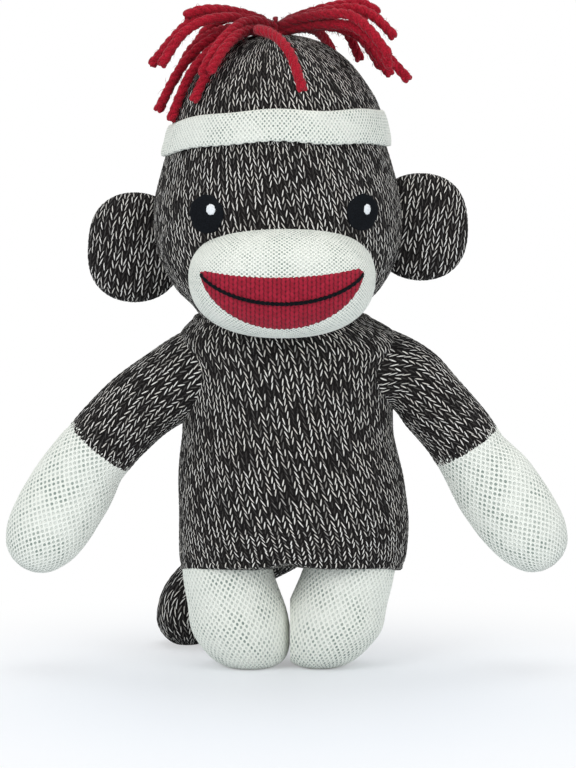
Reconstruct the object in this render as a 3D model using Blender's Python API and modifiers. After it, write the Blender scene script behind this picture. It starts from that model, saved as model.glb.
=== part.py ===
"""A stuffed sock monkey doll: knit skins sewn round stuffing, with limbs that swing at their seams.

Lengths are in metres. +Z is up and the doll faces -Y. The origin lies on the floor under the middle of
the doll. Left and right are the sides of the picture, so left is at -X.
"""

from math import asin, copysign, cos, pi, radians, sin, sqrt, tau

import bmesh
import bpy
from mathutils import Matrix, Vector
from mathutils.bvhtree import BVHTree

# Cloth and seams
KNIT_WALL = 0.0012
SEAM_GAP = 0.0003
STUFFING_SLACK = 0.0005
SOCKET_GAP = 0.0005
SOLE_FLAT_DEPTH = 0.0005

# Torso, from the crotch up to the neck
TORSO_BOTTOM_Z = 0.0320
TORSO_HEIGHT = 0.0780
TORSO_WIDTH = 0.0705
TORSO_DEPTH = 0.0470
TORSO_LEVELS_SHARES = (0.0, 0.07, 0.22, 0.42, 0.62, 0.80, 0.92, 1.0)
TORSO_WIDTHS_SHARES = (0.78, 0.955, 1.0, 0.985, 0.945, 0.90, 0.95, 0.74)
TORSO_DEPTHS_SHARES = (0.52, 0.80, 0.99, 1.0, 0.97, 0.90, 0.86, 0.78)

# Head, with the hat's crown as its top
HEAD_SHIFT = 0.0037
HEAD_BOTTOM_Z = 0.1012
HEAD_HEIGHT = 0.0960
HEAD_WIDTH = 0.0785
HEAD_DEPTH = 0.0680
HEAD_LEVELS_SHARES = (0.0, 0.05, 0.17, 0.31, 0.44, 0.575, 0.70, 0.825, 0.935, 1.0)
HEAD_WIDTHS_SHARES = (0.42, 0.68, 0.90, 1.0, 1.0, 0.91, 0.845, 0.77, 0.58, 0.26)
HEAD_DEPTHS_SHARES = (0.45, 0.70, 0.91, 1.0, 1.0, 0.95, 0.90, 0.84, 0.64, 0.28)
HEAD_LEAN = radians(4.0)
NECK_OPENING_SHARE = 0.97

# Neck: the head's underside is part of a sphere that turns in a saucer in the torso
NECK_SPHERE_RADIUS = 0.0450
NECK_PAD_RADIUS = 0.0135
NECK_PAD_THICKNESS = 0.0035
UNDER_HEAD_HEIGHT = 0.0190
NECK_CENTRE = Vector((-HEAD_SHIFT, 0, HEAD_BOTTOM_Z + NECK_SPHERE_RADIUS))

# Hat: a cream band folded round the head where the crown meets it
CUFF_BOTTOM_Z = 0.1608
CUFF_HEIGHT = 0.0088
CUFF_THICKNESS = 0.0024
CUFF_TILT_BACK = radians(7.5)
CUFF_TILT_SIDE = radians(1.3)
CUFF_TUCK = 0.0025
CUFF_AXIS = Vector((-sin(CUFF_TILT_SIDE), sin(CUFF_TILT_BACK), cos(CUFF_TILT_BACK))).normalized()
CUFF_LOW = Vector((-HEAD_SHIFT, 0, CUFF_BOTTOM_Z))
CUFF_HIGH = CUFF_LOW + CUFF_AXIS * CUFF_HEIGHT

# Muzzle, a stuffed cream oval sewn on the face
FACE_SHIFT = 0.0021
MUZZLE_Z = 0.1234
MUZZLE_WIDTH = 0.0562
MUZZLE_HEIGHT = 0.0345
MUZZLE_REACH = 0.0125
MUZZLE_SEAM_DEPTH = 0.0190
# How far forward each ring is, then its share of the width and height
MUZZLE_SHARES = ((0.0, 0.99), (0.40, 1.0), (0.72, 0.86), (0.92, 0.60), (1.0, 0.28))
FACE_X = -HEAD_SHIFT + FACE_SHIFT
MUZZLE_FRONT_Y = -HEAD_DEPTH / 2 - MUZZLE_REACH
MUZZLE_BACK_Y = -HEAD_DEPTH / 2 + MUZZLE_SEAM_DEPTH

# Mouth, a red knit shape with a black line, both sewn on the muzzle
MOUTH_WIDTH = 0.0492
MOUTH_TOP_Z = 0.1271
MOUTH_HEIGHT = 0.0170
MOUTH_TOP_SAG = 0.0018
MOUTH_THICKNESS = 0.0009
MOUTH_ROUND_SHARE = 0.6
SMILE_DROP = 0.0092
SMILE_ROUND_SHARE = 0.7
SMILE_SPAN_SHARE = 0.97
SMILE_THREAD_RADIUS = 0.0006

# Eyes, flat discs of black thread with a white stitched spot
EYE_SPACING = 0.0472
EYE_Z = 0.1437
EYE_WIDTH = 0.0108
EYE_HEIGHT = 0.0118
EYE_THICKNESS = 0.0007
SPOT_WIDTH = 0.0029
SPOT_HEIGHT = 0.0035
SPOT_THICKNESS = 0.0005
SPOT_OUT = 0.0015
SPOT_UP = 0.0012

# Ears, stuffed discs sewn on edgewise
EAR_HEIGHT = 0.0345
EAR_WIDTH = 0.0290
EAR_THICKNESS = 0.0125
# How far through the thickness each ring is, then its share of the width and height
EAR_SHARES = ((-0.5, 0.42), (-0.32, 0.84), (0.0, 1.0), (0.32, 0.84), (0.5, 0.42))
EAR_OUT = 0.0440
EAR_LEFT_Z = 0.1310
EAR_RIGHT_Z = 0.1375
EAR_BACK = 0.0020
EAR_HINGE_OUT = 0.0370
EAR_OPENING_OUT = 0.0330
EAR_FLOP = radians(18)

# The half ball at the root of each limb, and the hole at its pole
ROOT_RING_TURNS = (radians(22.0), radians(56.0), radians(90.0))
ROOT_OPENING_TURN = radians(34.0)

# Arms: a marled sleeve from the shoulder to the seam, then a cream hand
ARM_RADIUS = 0.0117
SHOULDER_OUT = 0.0370
ARMHOLE_GAP = 0.0011
SHOULDER_Z = 0.0880
LEFT_SLEEVE_LENGTH = 0.0338
RIGHT_SLEEVE_LENGTH = 0.0318
LEFT_SLEEVE_DROOPS = (radians(33.0), radians(43.0), radians(50.0), radians(51.0))
RIGHT_SLEEVE_DROOPS = (radians(35.0), radians(49.0), radians(56.0), radians(57.0))
WRIST_RADIUS = 0.0109
WRIST_SETBACK = 0.0055
WRIST_CUT_SHARES = (1.0, 0.0, -2.0)
LEFT_HAND_LENGTH = 0.0400
RIGHT_HAND_LENGTH = 0.0415
HAND_WIDTH = 0.0244
HAND_DEPTH = 0.0215
LEFT_HAND_DROOP = radians(58.0)
RIGHT_HAND_DROOP = radians(54.5)
SLEEVES = {-1: (LEFT_SLEEVE_LENGTH, LEFT_SLEEVE_DROOPS), 1: (RIGHT_SLEEVE_LENGTH, RIGHT_SLEEVE_DROOPS)}
HANDS = {-1: (LEFT_HAND_LENGTH, LEFT_HAND_DROOP), 1: (RIGHT_HAND_LENGTH, RIGHT_HAND_DROOP)}
# How far along each ring is, then its share of the width and of the depth
HAND_SHARES = (
    (0.28, 0.97, 1.0), (0.52, 1.0, 1.0), (0.74, 0.92, 0.92), (0.90, 0.66, 0.68), (0.985, 0.28, 0.30),
)

# Legs: a marled hip and a cream foot on one axis that leans inward
LEG_RADIUS = 0.0141
HIP_OUT = 0.0193
HIP_Z = 0.0325
LEG_LEAN = radians(13.0)
LEG_LENGTH = 0.0345
LEG_SWING_FORWARD = radians(75.0)
LEG_SWELL_SHARE = 1.03
SOCKET_TUBE_SHARES = (0.5, 1.0)
LEG_SHARES = ((0.28, 1.0), (0.56, 1.03), (0.76, 0.98), (0.90, 0.76), (0.985, 0.36))
FOOT_GAP = 0.0007

# Tail: a marled tube from the rear of the torso down to the floor
TAIL_RADIUS = 0.0094
TAIL_ROOT_Y = 0.0205
TAIL_ROOT_Z = 0.0385
TAIL_TIP_OUT = 0.0330
TAIL_TIP_Y = -MUZZLE_FRONT_Y - TAIL_RADIUS
TAIL_START = Vector((-0.30, 0.92, -0.25))
TAIL_START_PULL = 0.0180
TAIL_END_PULL = 0.0130
TAIL_TIP_TURNS = (radians(40.0), radians(72.0))

# Yarn tuft: lengths of yarn tied together at their middles on top of the hat
YARN_RADIUS = 0.0016
YARN_PITCH = 0.0035
YARN_STEPS = 6
# Each yarn, from front to rear: the turn of its left and right half towards the front, how far each
# half reaches and how far its end stands above the middle of the tie.
LOWER_YARNS = (
    ((radians(62), 0.031, -0.010), (radians(78), 0.030, -0.009)),
    ((radians(46), 0.035, -0.018), (radians(36), 0.040, -0.017)),
    ((radians(22), 0.037, -0.024), (radians(16), 0.041, -0.020)),
    ((radians(-8), 0.041, -0.017), (radians(-8), 0.038, -0.022)),
    ((radians(-38), 0.037, -0.021), (radians(-36), 0.037, -0.019)),
    ((radians(-66), 0.034, -0.018), (radians(-64), 0.034, -0.021)),
)
UPPER_YARNS = (
    ((radians(34), 0.036, -0.010), (radians(30), 0.037, -0.009)),
    ((radians(16), 0.038, -0.013), (radians(12), 0.036, -0.003)),
    ((radians(0), 0.028, 0.003), (radians(0), 0.032, 0.003)),
    ((radians(-20), 0.036, -0.007), (radians(-16), 0.029, 0.001)),
    ((radians(-44), 0.034, -0.012), (radians(-46), 0.034, -0.012)),
)
FAN_END_SHARE = 0.3
CROWN_RADIUS = 0.0330
CROWN_FALL = 0.0270
CROWN_RIM_SHARE = 0.9
TIE_THREAD_RADIUS = 0.0005
TIE_SQUARENESS_SHARE = 0.25
TUFT_STAND = 2 * TIE_THREAD_RADIUS + 3 * SEAM_GAP + YARN_RADIUS
TUFT_BASE = Vector((-0.0045, 0.0040, HEAD_BOTTOM_Z + HEAD_HEIGHT))
TIE_MIDDLE = TUFT_STAND + YARN_PITCH / 2
TIE_HALF_HEIGHT = YARN_PITCH / 2 + YARN_RADIUS + 2 * SEAM_GAP + TIE_THREAD_RADIUS
TIE_HALF_WIDTH = 5 / 2 * YARN_PITCH + YARN_RADIUS + 5 * SEAM_GAP + TIE_THREAD_RADIUS

OVERRUN = 0.0100
MERGE_DISTANCE = 0.00001
FORM_SIDES = 11
LIMB_SIDES = 7
DISC_SIDES = 16
SAUCER_SIDES = 28
SOCKET_SIDES = 9
EAR_SIDES = 9
MOUTH_STEPS = 14
SMILE_STEPS = 20
TAIL_STEPS = 4
NECK_PAD_STEPS = 3

UP = Vector((0, 0, 1))
OUTWARD = Vector((1, 0, 0))
FRONT = Vector((0, -1, 0))


def remove_everything():
    for thing in list(bpy.data.objects):
        bpy.data.objects.remove(thing, do_unlink=True)


def new_collection(name, helpers):
    made = bpy.data.collections.new(name)
    made.hide_render = helpers
    bpy.context.scene.collection.children.link(made)
    return made


def new_material(name, colour, roughness):
    made = bpy.data.materials.new(name)
    made.use_nodes = True
    shader = made.node_tree.nodes["Principled BSDF"]
    shader.inputs["Base Color"].default_value = (*colour, 1)
    shader.inputs["Roughness"].default_value = roughness
    shader.inputs["Metallic"].default_value = 0
    return made


def new_pivot(name, place, holder=None):
    """An empty on a joint's axis, which carries the pieces that move there."""
    pivot = bpy.data.objects.new(name, None)
    pivot.location = place
    pieces.objects.link(pivot)
    bpy.context.view_layer.update()
    if holder:
        pivot.parent = holder
        pivot.matrix_parent_inverse = holder.matrix_world.inverted()
        bpy.context.view_layer.update()
    return pivot


def new_piece(name, mesh, coat, holder):
    """A named part of the doll, held by a pivot, with its points in the doll's own frame."""
    made = bpy.data.objects.new(name, mesh)
    pieces.objects.link(made)
    mesh.materials.clear()
    mesh.materials.append(coat)
    mesh.shade_smooth()
    made.parent = holder
    made.matrix_parent_inverse = holder.matrix_world.inverted()
    return made


def new_guide(name, mesh):
    """A helper that shapes or cuts pieces and isn't one itself."""
    made = bpy.data.objects.new(name, mesh)
    guides.objects.link(made)
    made.hide_render = True
    made.display_type = "WIRE"
    return made


def mesh_from(work, name):
    mesh = bpy.data.meshes.new(name)
    work.to_mesh(mesh)
    work.free()
    return mesh


def evaluated_mesh(thing):
    bpy.context.view_layer.update()
    graph = bpy.context.evaluated_depsgraph_get()
    return bpy.data.meshes.new_from_object(thing.evaluated_get(graph))


def combine(piece, tool, operation):
    change = piece.modifiers.new(f"{operation.lower()} {tool.name}", "BOOLEAN")
    change.operation = operation
    change.object = tool


def cut(piece, *tools):
    for tool in tools:
        combine(piece, tool, "DIFFERENCE")


def ring_frame(centre, axis, width, depth, reference):
    """The placement of a unit circle square to axis, width across and depth from front to back."""
    axis = axis.normalized()
    across = reference.cross(axis).normalized()
    turn = Matrix((across, axis.cross(across), axis)).transposed().to_4x4()
    return Matrix.Translation(centre) @ turn @ Matrix.Diagonal((width / 2, depth / 2, 1, 1))


def new_form(name, rings, sides, reference=-FRONT):
    """A closed soft form: a coarse cage through rings of (centre, axis, width, depth), subdivided.

    Subdivision draws a ring inward, so each cage ring is larger by the same share.
    """
    swell = 6 / (4 + 2 * cos(tau / sides))
    cage = bmesh.new()
    loops = []
    for centre, axis, width, depth in rings:
        frame = ring_frame(centre, axis, width * swell, depth * swell, reference)
        circle = bmesh.ops.create_circle(cage, segments=sides, radius=1, matrix=frame)["verts"]
        loops.append(list(dict.fromkeys(edge for point in circle for edge in point.link_edges)))
    for near, far in zip(loops, loops[1:]):
        bmesh.ops.bridge_loops(cage, edges=near + far)
    for end in (loops[0], loops[-1]):
        bmesh.ops.contextual_create(cage, geom=end)
    bmesh.ops.recalc_face_normals(cage, faces=cage.faces)
    form = new_guide(name, mesh_from(cage, name))
    smooth = form.modifiers.new("rounding", "SUBSURF")
    smooth.levels = 1
    smooth.render_levels = 1
    return form


def grown_form(form, distance):
    """A copy of the form's finished surface, moved outward by distance."""
    mesh = evaluated_mesh(form)
    places = [point.co + point.normal * distance for point in mesh.vertices]
    for point, place in zip(mesh.vertices, places):
        point.co = place
    return new_guide(f"{form.name} grown", mesh)


def open_sheet(form, openings):
    """The form's surface, cut away beyond each (point, outward direction)."""
    sheet = bmesh.new()
    sheet.from_mesh(evaluated_mesh(form))
    for point, outward in openings:
        everything = sheet.verts[:] + sheet.edges[:] + sheet.faces[:]
        bmesh.ops.bisect_plane(
            sheet, geom=everything, plane_co=point, plane_no=outward, clear_outer=True
        )
    return mesh_from(sheet, form.name)


def new_skin(name, form, openings, coat, holder):
    """A knit skin: the form's surface, open at its seams, with the cloth's thickness inside."""
    skin = new_piece(name, open_sheet(form, openings), coat, holder)
    wall = skin.modifiers.new("knit wall", "SOLIDIFY")
    wall.thickness = KNIT_WALL
    wall.offset = -1
    return skin


def new_stuffing(name, form, holder):
    """A wad of stuffing: the form's cage laid on its finished surface and drawn in under the skin."""
    smooth = evaluated_mesh(form)
    mesh = form.data.copy()
    for point, drawn in zip(mesh.vertices, smooth.vertices):
        point.co = drawn.co - drawn.normal * (KNIT_WALL + STUFFING_SLACK)
    return new_piece(name, mesh, stuffing_white, holder)


def new_ball(name, centre, radius, segments):
    ball = bmesh.new()
    bmesh.ops.create_uvsphere(
        ball, u_segments=segments, v_segments=segments // 2, radius=radius,
        matrix=Matrix.Translation(centre),
    )
    return new_guide(name, mesh_from(ball, name))


def new_block(name, low, high):
    """A box between two corners, as a cutter."""
    block = bmesh.new()
    place = Matrix.Translation((low + high) / 2) @ Matrix.Diagonal((*(high - low), 1))
    bmesh.ops.create_cube(block, size=1, matrix=place)
    return new_guide(name, mesh_from(block, name))


def turned_mesh(name, profile):
    """A profile of (radius, height) from the top down its outer side, turned about Z."""
    line = bmesh.new()
    points = [line.verts.new((radius, 0, height)) for radius, height in profile]
    for upper, lower in zip(points, points[1:]):
        line.edges.new((upper, lower))
    guide = new_guide(name, mesh_from(line, name))
    turn = guide.modifiers.new("turn", "SCREW")
    turn.steps = DISC_SIDES
    turn.render_steps = DISC_SIDES
    turn.use_merge_vertices = True
    turn.merge_threshold = MERGE_DISTANCE
    mesh = evaluated_mesh(guide)
    bpy.data.objects.remove(guide)
    return mesh


def mesh_of_curve(guide):
    """The curve as a closed mesh in the doll's frame, with the curve removed."""
    mesh = evaluated_mesh(guide)
    mesh.transform(guide.matrix_world)
    work = bmesh.new()
    work.from_mesh(mesh)
    bmesh.ops.remove_doubles(work, verts=work.verts, dist=MERGE_DISTANCE)
    work.to_mesh(mesh)
    work.free()
    bpy.data.objects.remove(guide)
    return mesh


def tube_mesh(name, places, radius, roundness):
    """A tube with flat ends along the places."""
    curve = bpy.data.curves.new(name, "CURVE")
    curve.dimensions = "3D"
    curve.bevel_depth = radius
    curve.bevel_resolution = roundness
    curve.use_fill_caps = True
    line = curve.splines.new("POLY")
    line.points.add(len(places) - 1)
    for point, place in zip(line.points, places):
        point.co = (*place, 1)
    return mesh_of_curve(new_guide(name, curve))


def prism_mesh(name, outline, middle, length):
    """A flat outline of (x, z) places, extruded along Y by length about middle."""
    curve = bpy.data.curves.new(name, "CURVE")
    curve.dimensions = "2D"
    curve.fill_mode = "BOTH"
    curve.extrude = length / 2
    line = curve.splines.new("POLY")
    line.use_cyclic_u = True
    line.points.add(len(outline) - 1)
    for point, (across, height) in zip(line.points, outline):
        point.co = (across, height, 0, 1)
    guide = new_guide(name, curve)
    guide.rotation_euler.x = pi / 2
    guide.location.y = middle
    return mesh_of_curve(guide)


def turned_round(direction, axis, angle):
    return Matrix.Rotation(angle, 3, axis) @ direction


def turned_copy(guide, name, place, axis, angle):
    """A copy of a guide, turned about an axis through place."""
    mesh = evaluated_mesh(guide)
    there = Matrix.Translation(place)
    mesh.transform(there @ Matrix.Rotation(angle, 4, axis) @ there.inverted())
    return new_guide(name, mesh)


def root_rings(centre, axis, radius):
    """Rings of the half ball at a limb's root, from its pole to its widest ring."""
    return [
        (centre - axis * (radius * cos(turn)), axis, 2 * radius * sin(turn), 2 * radius * sin(turn))
        for turn in ROOT_RING_TURNS
    ]


def root_opening(centre, axis, radius):
    """The hole at the pole of a limb's root, where its stuffing was put in."""
    return centre - axis * (radius * cos(ROOT_OPENING_TURN)), -axis


def leg_socket(name, hip, axis):
    """The room that a leg needs in the torso: a ball at the hip and a tube along the leg swung forward."""
    full = LEG_RADIUS * LEG_SWELL_SHARE + SOCKET_GAP
    rings = root_rings(hip, axis, full)
    rings += [(hip + axis * (LEG_LENGTH * share), axis, 2 * full, 2 * full) for share in SOCKET_TUBE_SHARES]
    return new_form(name, rings, SOCKET_SIDES)


def torso_rings():
    return [
        (
            UP * (TORSO_BOTTOM_Z + TORSO_HEIGHT * level), UP,
            TORSO_WIDTH * width, TORSO_DEPTH * depth,
        )
        for level, width, depth in zip(
            TORSO_LEVELS_SHARES, TORSO_WIDTHS_SHARES, TORSO_DEPTHS_SHARES
        )
    ]


def head_place(height):
    """The middle of the head at a height, on the axis that leans back."""
    lean = (height - HEAD_BOTTOM_Z - HEAD_HEIGHT * HEAD_LEVELS_SHARES[3]) * sin(HEAD_LEAN)
    return Vector((-HEAD_SHIFT, lean, height))


def head_rings():
    return [
        (
            head_place(HEAD_BOTTOM_Z + HEAD_HEIGHT * level), UP,
            HEAD_WIDTH * width, HEAD_DEPTH * depth,
        )
        for level, width, depth in zip(HEAD_LEVELS_SHARES, HEAD_WIDTHS_SHARES, HEAD_DEPTHS_SHARES)
    ]


def make_torso(neck_ball, sockets):
    form = new_form("torso form", torso_rings(), FORM_SIDES)
    top = UP * (TORSO_BOTTOM_Z + TORSO_HEIGHT * NECK_OPENING_SHARE)
    skin = new_skin("torso_skin", form, [(top, UP)], marled, torso)
    filling = new_stuffing("torso_stuffing", form, torso)
    cut(skin, neck_ball, *sockets)
    cut(filling, neck_ball, *sockets)
    return filling


def make_neck_pad(torso_filling):
    """The wad of stuffing in the neck, a round pad between two spheres about the neck's centre."""
    def cap(name, radius, thickness, gap):
        top = radius - gap
        low = radius + thickness + gap
        reach = NECK_PAD_RADIUS + gap
        shares = [step / NECK_PAD_STEPS for step in range(NECK_PAD_STEPS + 1)]
        upper = [asin(reach / top) * share for share in shares]
        lower = [asin(reach / low) * share for share in reversed(shares)]
        profile = [(top * sin(turn), -top * cos(turn)) for turn in upper]
        profile += [(low * sin(turn), -low * cos(turn)) for turn in lower]
        mesh = turned_mesh(name, profile)
        mesh.transform(Matrix.Translation(NECK_CENTRE))
        return mesh

    face = NECK_SPHERE_RADIUS + SOCKET_GAP
    new_piece("neck_stuffing", cap("neck pad", face, NECK_PAD_THICKNESS, 0), stuffing_white, torso)
    cut(torso_filling, new_guide("neck pad pocket", cap("pocket", face, NECK_PAD_THICKNESS, SEAM_GAP)))


def make_head(form, under_head):
    """The head's marled skin up to the hat, the hat's crown, and the stuffing of both."""
    neck_hole = UP * (HEAD_BOTTOM_Z + HEAD_HEIGHT * HEAD_LEVELS_SHARES[1])
    tuck = CUFF_AXIS * CUFF_TUCK
    below = [(CUFF_LOW + tuck, CUFF_AXIS), (neck_hole, -UP)]
    above = [(CUFF_HIGH - tuck, -CUFF_AXIS)]
    cut(new_skin("head_skin", form, below, marled, head), under_head)
    new_skin("hat_crown", form, above, marled, head)
    cut(new_stuffing("head_stuffing", form, head), under_head)


def make_cuff(head_near):
    """The folded cream band, from the head's surface outward."""
    sheet = open_sheet(head_near, [(CUFF_HIGH, CUFF_AXIS), (CUFF_LOW, -CUFF_AXIS)])
    band = new_piece("hat_cuff", sheet, cream, head)
    fold = band.modifiers.new("fold", "SOLIDIFY")
    fold.thickness = CUFF_THICKNESS
    fold.offset = 1
    edge = band.modifiers.new("rounded fold", "BEVEL")
    edge.width = CUFF_THICKNESS / 3
    edge.segments = 1
    edge.limit_method = "ANGLE"


def make_muzzle(form, head_near):
    root = Vector((0, MUZZLE_BACK_Y + SEAM_GAP, 0))
    cut(new_skin("muzzle_skin", form, [(root, -FRONT)], cream, head), head_near)
    cut(new_stuffing("muzzle_stuffing", form, head), head_near)


def muzzle_rings():
    """Rings from the face forward, narrowing to the blunt front."""
    reach = MUZZLE_FRONT_Y - MUZZLE_BACK_Y
    return [
        (
            Vector((FACE_X, MUZZLE_BACK_Y + reach * along, MUZZLE_Z)), FRONT,
            MUZZLE_WIDTH * size, MUZZLE_HEIGHT * size,
        )
        for along, size in MUZZLE_SHARES
    ]


def mouth_outline():
    """Corner to corner along the nearly straight upper edge, then back along the deep lower one."""
    across = [2 * step / MOUTH_STEPS - 1 for step in range(MOUTH_STEPS + 1)]
    upper = [
        (FACE_X + MOUTH_WIDTH / 2 * u, MOUTH_TOP_Z - MOUTH_TOP_SAG * (1 - u * u)) for u in across
    ]
    lower = [
        (FACE_X + MOUTH_WIDTH / 2 * u, MOUTH_TOP_Z - MOUTH_HEIGHT * (1 - u * u) ** MOUTH_ROUND_SHARE)
        for u in reversed(across[1:-1])
    ]
    return upper + lower


def patch_between(name, mesh, near, far, coat):
    """A flat piece that follows a surface: what the prism holds between two layers round a form."""
    patch = new_piece(name, mesh, coat, head)
    combine(patch, far, "INTERSECT")
    combine(patch, near, "DIFFERENCE")


def make_mouth(form):
    near = grown_form(form, SEAM_GAP)
    far = grown_form(form, SEAM_GAP + MOUTH_THICKNESS)
    prism = prism_mesh("mouth outline", mouth_outline(), MUZZLE_FRONT_Y, MUZZLE_REACH * 2)
    patch_between("mouth_patch", prism, near, far, mouth_red)

    surface = BVHTree.FromObject(far, bpy.context.evaluated_depsgraph_get())
    places = []
    for step in range(SMILE_STEPS + 1):
        u = (2 * step / SMILE_STEPS - 1) * SMILE_SPAN_SHARE
        drop = SMILE_DROP * (1 - u * u) ** SMILE_ROUND_SHARE
        start = Vector((FACE_X + MOUTH_WIDTH / 2 * u, MUZZLE_FRONT_Y * 2, MOUTH_TOP_Z - drop))
        place, normal, _, _ = surface.ray_cast(start, -FRONT)
        places.append(place + normal * (SMILE_THREAD_RADIUS + SEAM_GAP))
    thread = tube_mesh("smile thread", places, SMILE_THREAD_RADIUS, 1)
    new_piece("smile_line", thread, thread_black, head)


def disc_prism(name, across, height, width, tall):
    """An oval prism through the face, to shape a flat stitched disc."""
    turns = [tau * step / DISC_SIDES for step in range(DISC_SIDES)]
    outline = [
        (across + width / 2 * cos(turn), height + tall / 2 * sin(turn)) for turn in turns
    ]
    return prism_mesh(name, outline, -HEAD_DEPTH / 2, HEAD_DEPTH / 2)


def make_eyes(form, head_near):
    eye_face = grown_form(form, SEAM_GAP + EYE_THICKNESS)
    spot_back = grown_form(form, 2 * SEAM_GAP + EYE_THICKNESS)
    spot_face = grown_form(form, 2 * SEAM_GAP + EYE_THICKNESS + SPOT_THICKNESS)
    for side, word in ((-1, "left"), (1, "right")):
        middle = FACE_X + side * EYE_SPACING / 2
        disc = disc_prism("eye", middle, EYE_Z, EYE_WIDTH, EYE_HEIGHT)
        patch_between(f"eye_{word}", disc, head_near, eye_face, thread_black)
        spot = disc_prism("spot", middle + SPOT_OUT, EYE_Z + SPOT_UP, SPOT_WIDTH, SPOT_HEIGHT)
        patch_between(f"eye_spot_{word}", spot, spot_back, spot_face, thread_white)


def make_ear(side, word, height, head_near):
    """A stuffed disc, cut by the head where it is sewn on, and where it flops to."""
    centre = Vector((-HEAD_SHIFT + side * EAR_OUT, EAR_BACK, height))
    rings = [
        (centre - FRONT * (EAR_THICKNESS * along), -FRONT, EAR_WIDTH * size, EAR_HEIGHT * size)
        for along, size in EAR_SHARES
    ]
    form = new_form(f"ear form {word}", rings, EAR_SIDES, UP)
    hinge = Vector((-HEAD_SHIFT + side * EAR_HINGE_OUT, EAR_BACK, height))
    pivot = new_pivot(f"ear pivot {word}", hinge, head)
    opening = Vector((-HEAD_SHIFT + side * EAR_OPENING_OUT, 0, 0))
    skin = new_skin(f"ear_{word}_skin", form, [(opening, OUTWARD * -side)], marled, pivot)
    filling = new_stuffing(f"ear_{word}_stuffing", form, pivot)
    tools = [head_near] + [
        turned_copy(head_near, f"head turned for ear {word}", hinge, "Z", turn)
        for turn in (-EAR_FLOP, EAR_FLOP)
    ]
    cut(skin, *tools)
    cut(filling, *tools)


def arm_path(side):
    """Centres and directions down the drooping sleeve, from the shoulder to the seam."""
    place = Vector((side * SHOULDER_OUT, 0, SHOULDER_Z))
    length, droops = SLEEVES[side]
    step = length / (len(droops) - 1)
    path = []
    for droop in droops:
        direction = Vector((side * cos(droop), 0, -sin(droop)))
        path.append((place.copy(), direction))
        place += direction * step
    return path


def make_arm(side, word):
    path = arm_path(side)
    shoulder, first = path[0]
    wrist, last = path[-1]
    full = 2 * ARM_RADIUS
    rings = root_rings(shoulder, first, ARM_RADIUS)
    rings += [(place, direction, full, full) for place, direction in path[1:]]
    rings.append((wrist + last * WRIST_SETBACK, last, full, full))
    form = new_form(f"sleeve form {word}", rings, LIMB_SIDES)

    arm = new_pivot(f"shoulder {word}", shoulder, torso)
    ball = new_ball(f"wrist ball {word}", wrist, WRIST_RADIUS + SOCKET_GAP, DISC_SIDES)
    seam = (wrist - last * WRIST_SETBACK, last)
    openings = [root_opening(shoulder, first, ARM_RADIUS), seam]
    new_skin(f"arm_{word}_skin", form, openings, marled, arm)
    beyond = new_form(
        f"beyond wrist {word}",
        [
            (wrist - last * (WRIST_SETBACK * share), last, full * 2, full * 2)
            for share in WRIST_CUT_SHARES
        ],
        LIMB_SIDES,
    )
    filling = new_stuffing(f"arm_{word}_stuffing", form, arm)
    cut(filling, ball, beyond)

    hand = new_pivot(f"wrist {word}", wrist, arm)
    length, droop = HANDS[side]
    along = Vector((side * cos(droop), 0, -sin(droop)))
    rings = root_rings(wrist, last, WRIST_RADIUS)
    for share, width, depth in HAND_SHARES:
        place = wrist + along * (length * share)
        rings.append((place, along, HAND_WIDTH * width, HAND_DEPTH * depth))
    form = new_form(f"hand form {word}", rings, LIMB_SIDES)
    new_skin(f"hand_{word}_skin", form, [root_opening(wrist, last, WRIST_RADIUS)], cream, hand)
    new_stuffing(f"hand_{word}_stuffing", form, hand)


def leg_axis(side):
    return Vector((-side * sin(LEG_LEAN), 0, -cos(LEG_LEAN)))


def make_leg(side, word, floor):
    hip = Vector((side * HIP_OUT, 0, HIP_Z))
    axis = leg_axis(side)
    full = 2 * LEG_RADIUS
    rings = root_rings(hip, axis, LEG_RADIUS)
    for along, size in LEG_SHARES:
        rings.append((hip + axis * (LEG_LENGTH * along), axis, full * size, full * size))
    form = new_form(f"leg form {word}", rings, LIMB_SIDES)
    leg = new_pivot(f"hip {word}", hip, torso)
    other_side = new_block(
        f"other leg's side {word}",
        Vector((min(side * FOOT_GAP / 2, -side * HIP_OUT), -LEG_LENGTH, -OVERRUN)),
        Vector((max(side * FOOT_GAP / 2, -side * HIP_OUT), LEG_LENGTH, HIP_Z)),
    )
    seam = hip + axis * SEAM_GAP
    hip_openings = [root_opening(hip, axis, LEG_RADIUS), (hip, axis)]
    thigh = new_skin(f"hip_{word}_skin", form, hip_openings, marled, leg)
    foot = new_skin(f"foot_{word}_skin", form, [(seam, -axis)], cream, leg)
    filling = new_stuffing(f"leg_{word}_stuffing", form, leg)
    cut(thigh, other_side)
    cut(foot, other_side, floor)
    cut(filling, other_side, floor)


def tail_path():
    """Centres and directions from the torso's rear down to the tip that rests on the floor."""
    root = Vector((0, TAIL_ROOT_Y, TAIL_ROOT_Z))
    tip = Vector((-TAIL_TIP_OUT, TAIL_TIP_Y, TAIL_RADIUS - 2 * SOLE_FLAT_DEPTH))
    start = TAIL_START.normalized() * TAIL_START_PULL
    end = Vector((0, 0, -1)) * TAIL_END_PULL
    path = []
    for step in range(TAIL_STEPS + 1):
        t = step / TAIL_STEPS
        a, b, c, d = (1 - t) ** 3, 3 * t * (1 - t) ** 2, 3 * t * t * (1 - t), t ** 3
        place = root * a + (root + start) * b + (tip - end) * c + tip * d
        slope = start * (1 - t) ** 2 + (tip - end - root - start) * (2 * t * (1 - t)) + end * t * t
        path.append((place, slope.normalized()))
    return path


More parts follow.
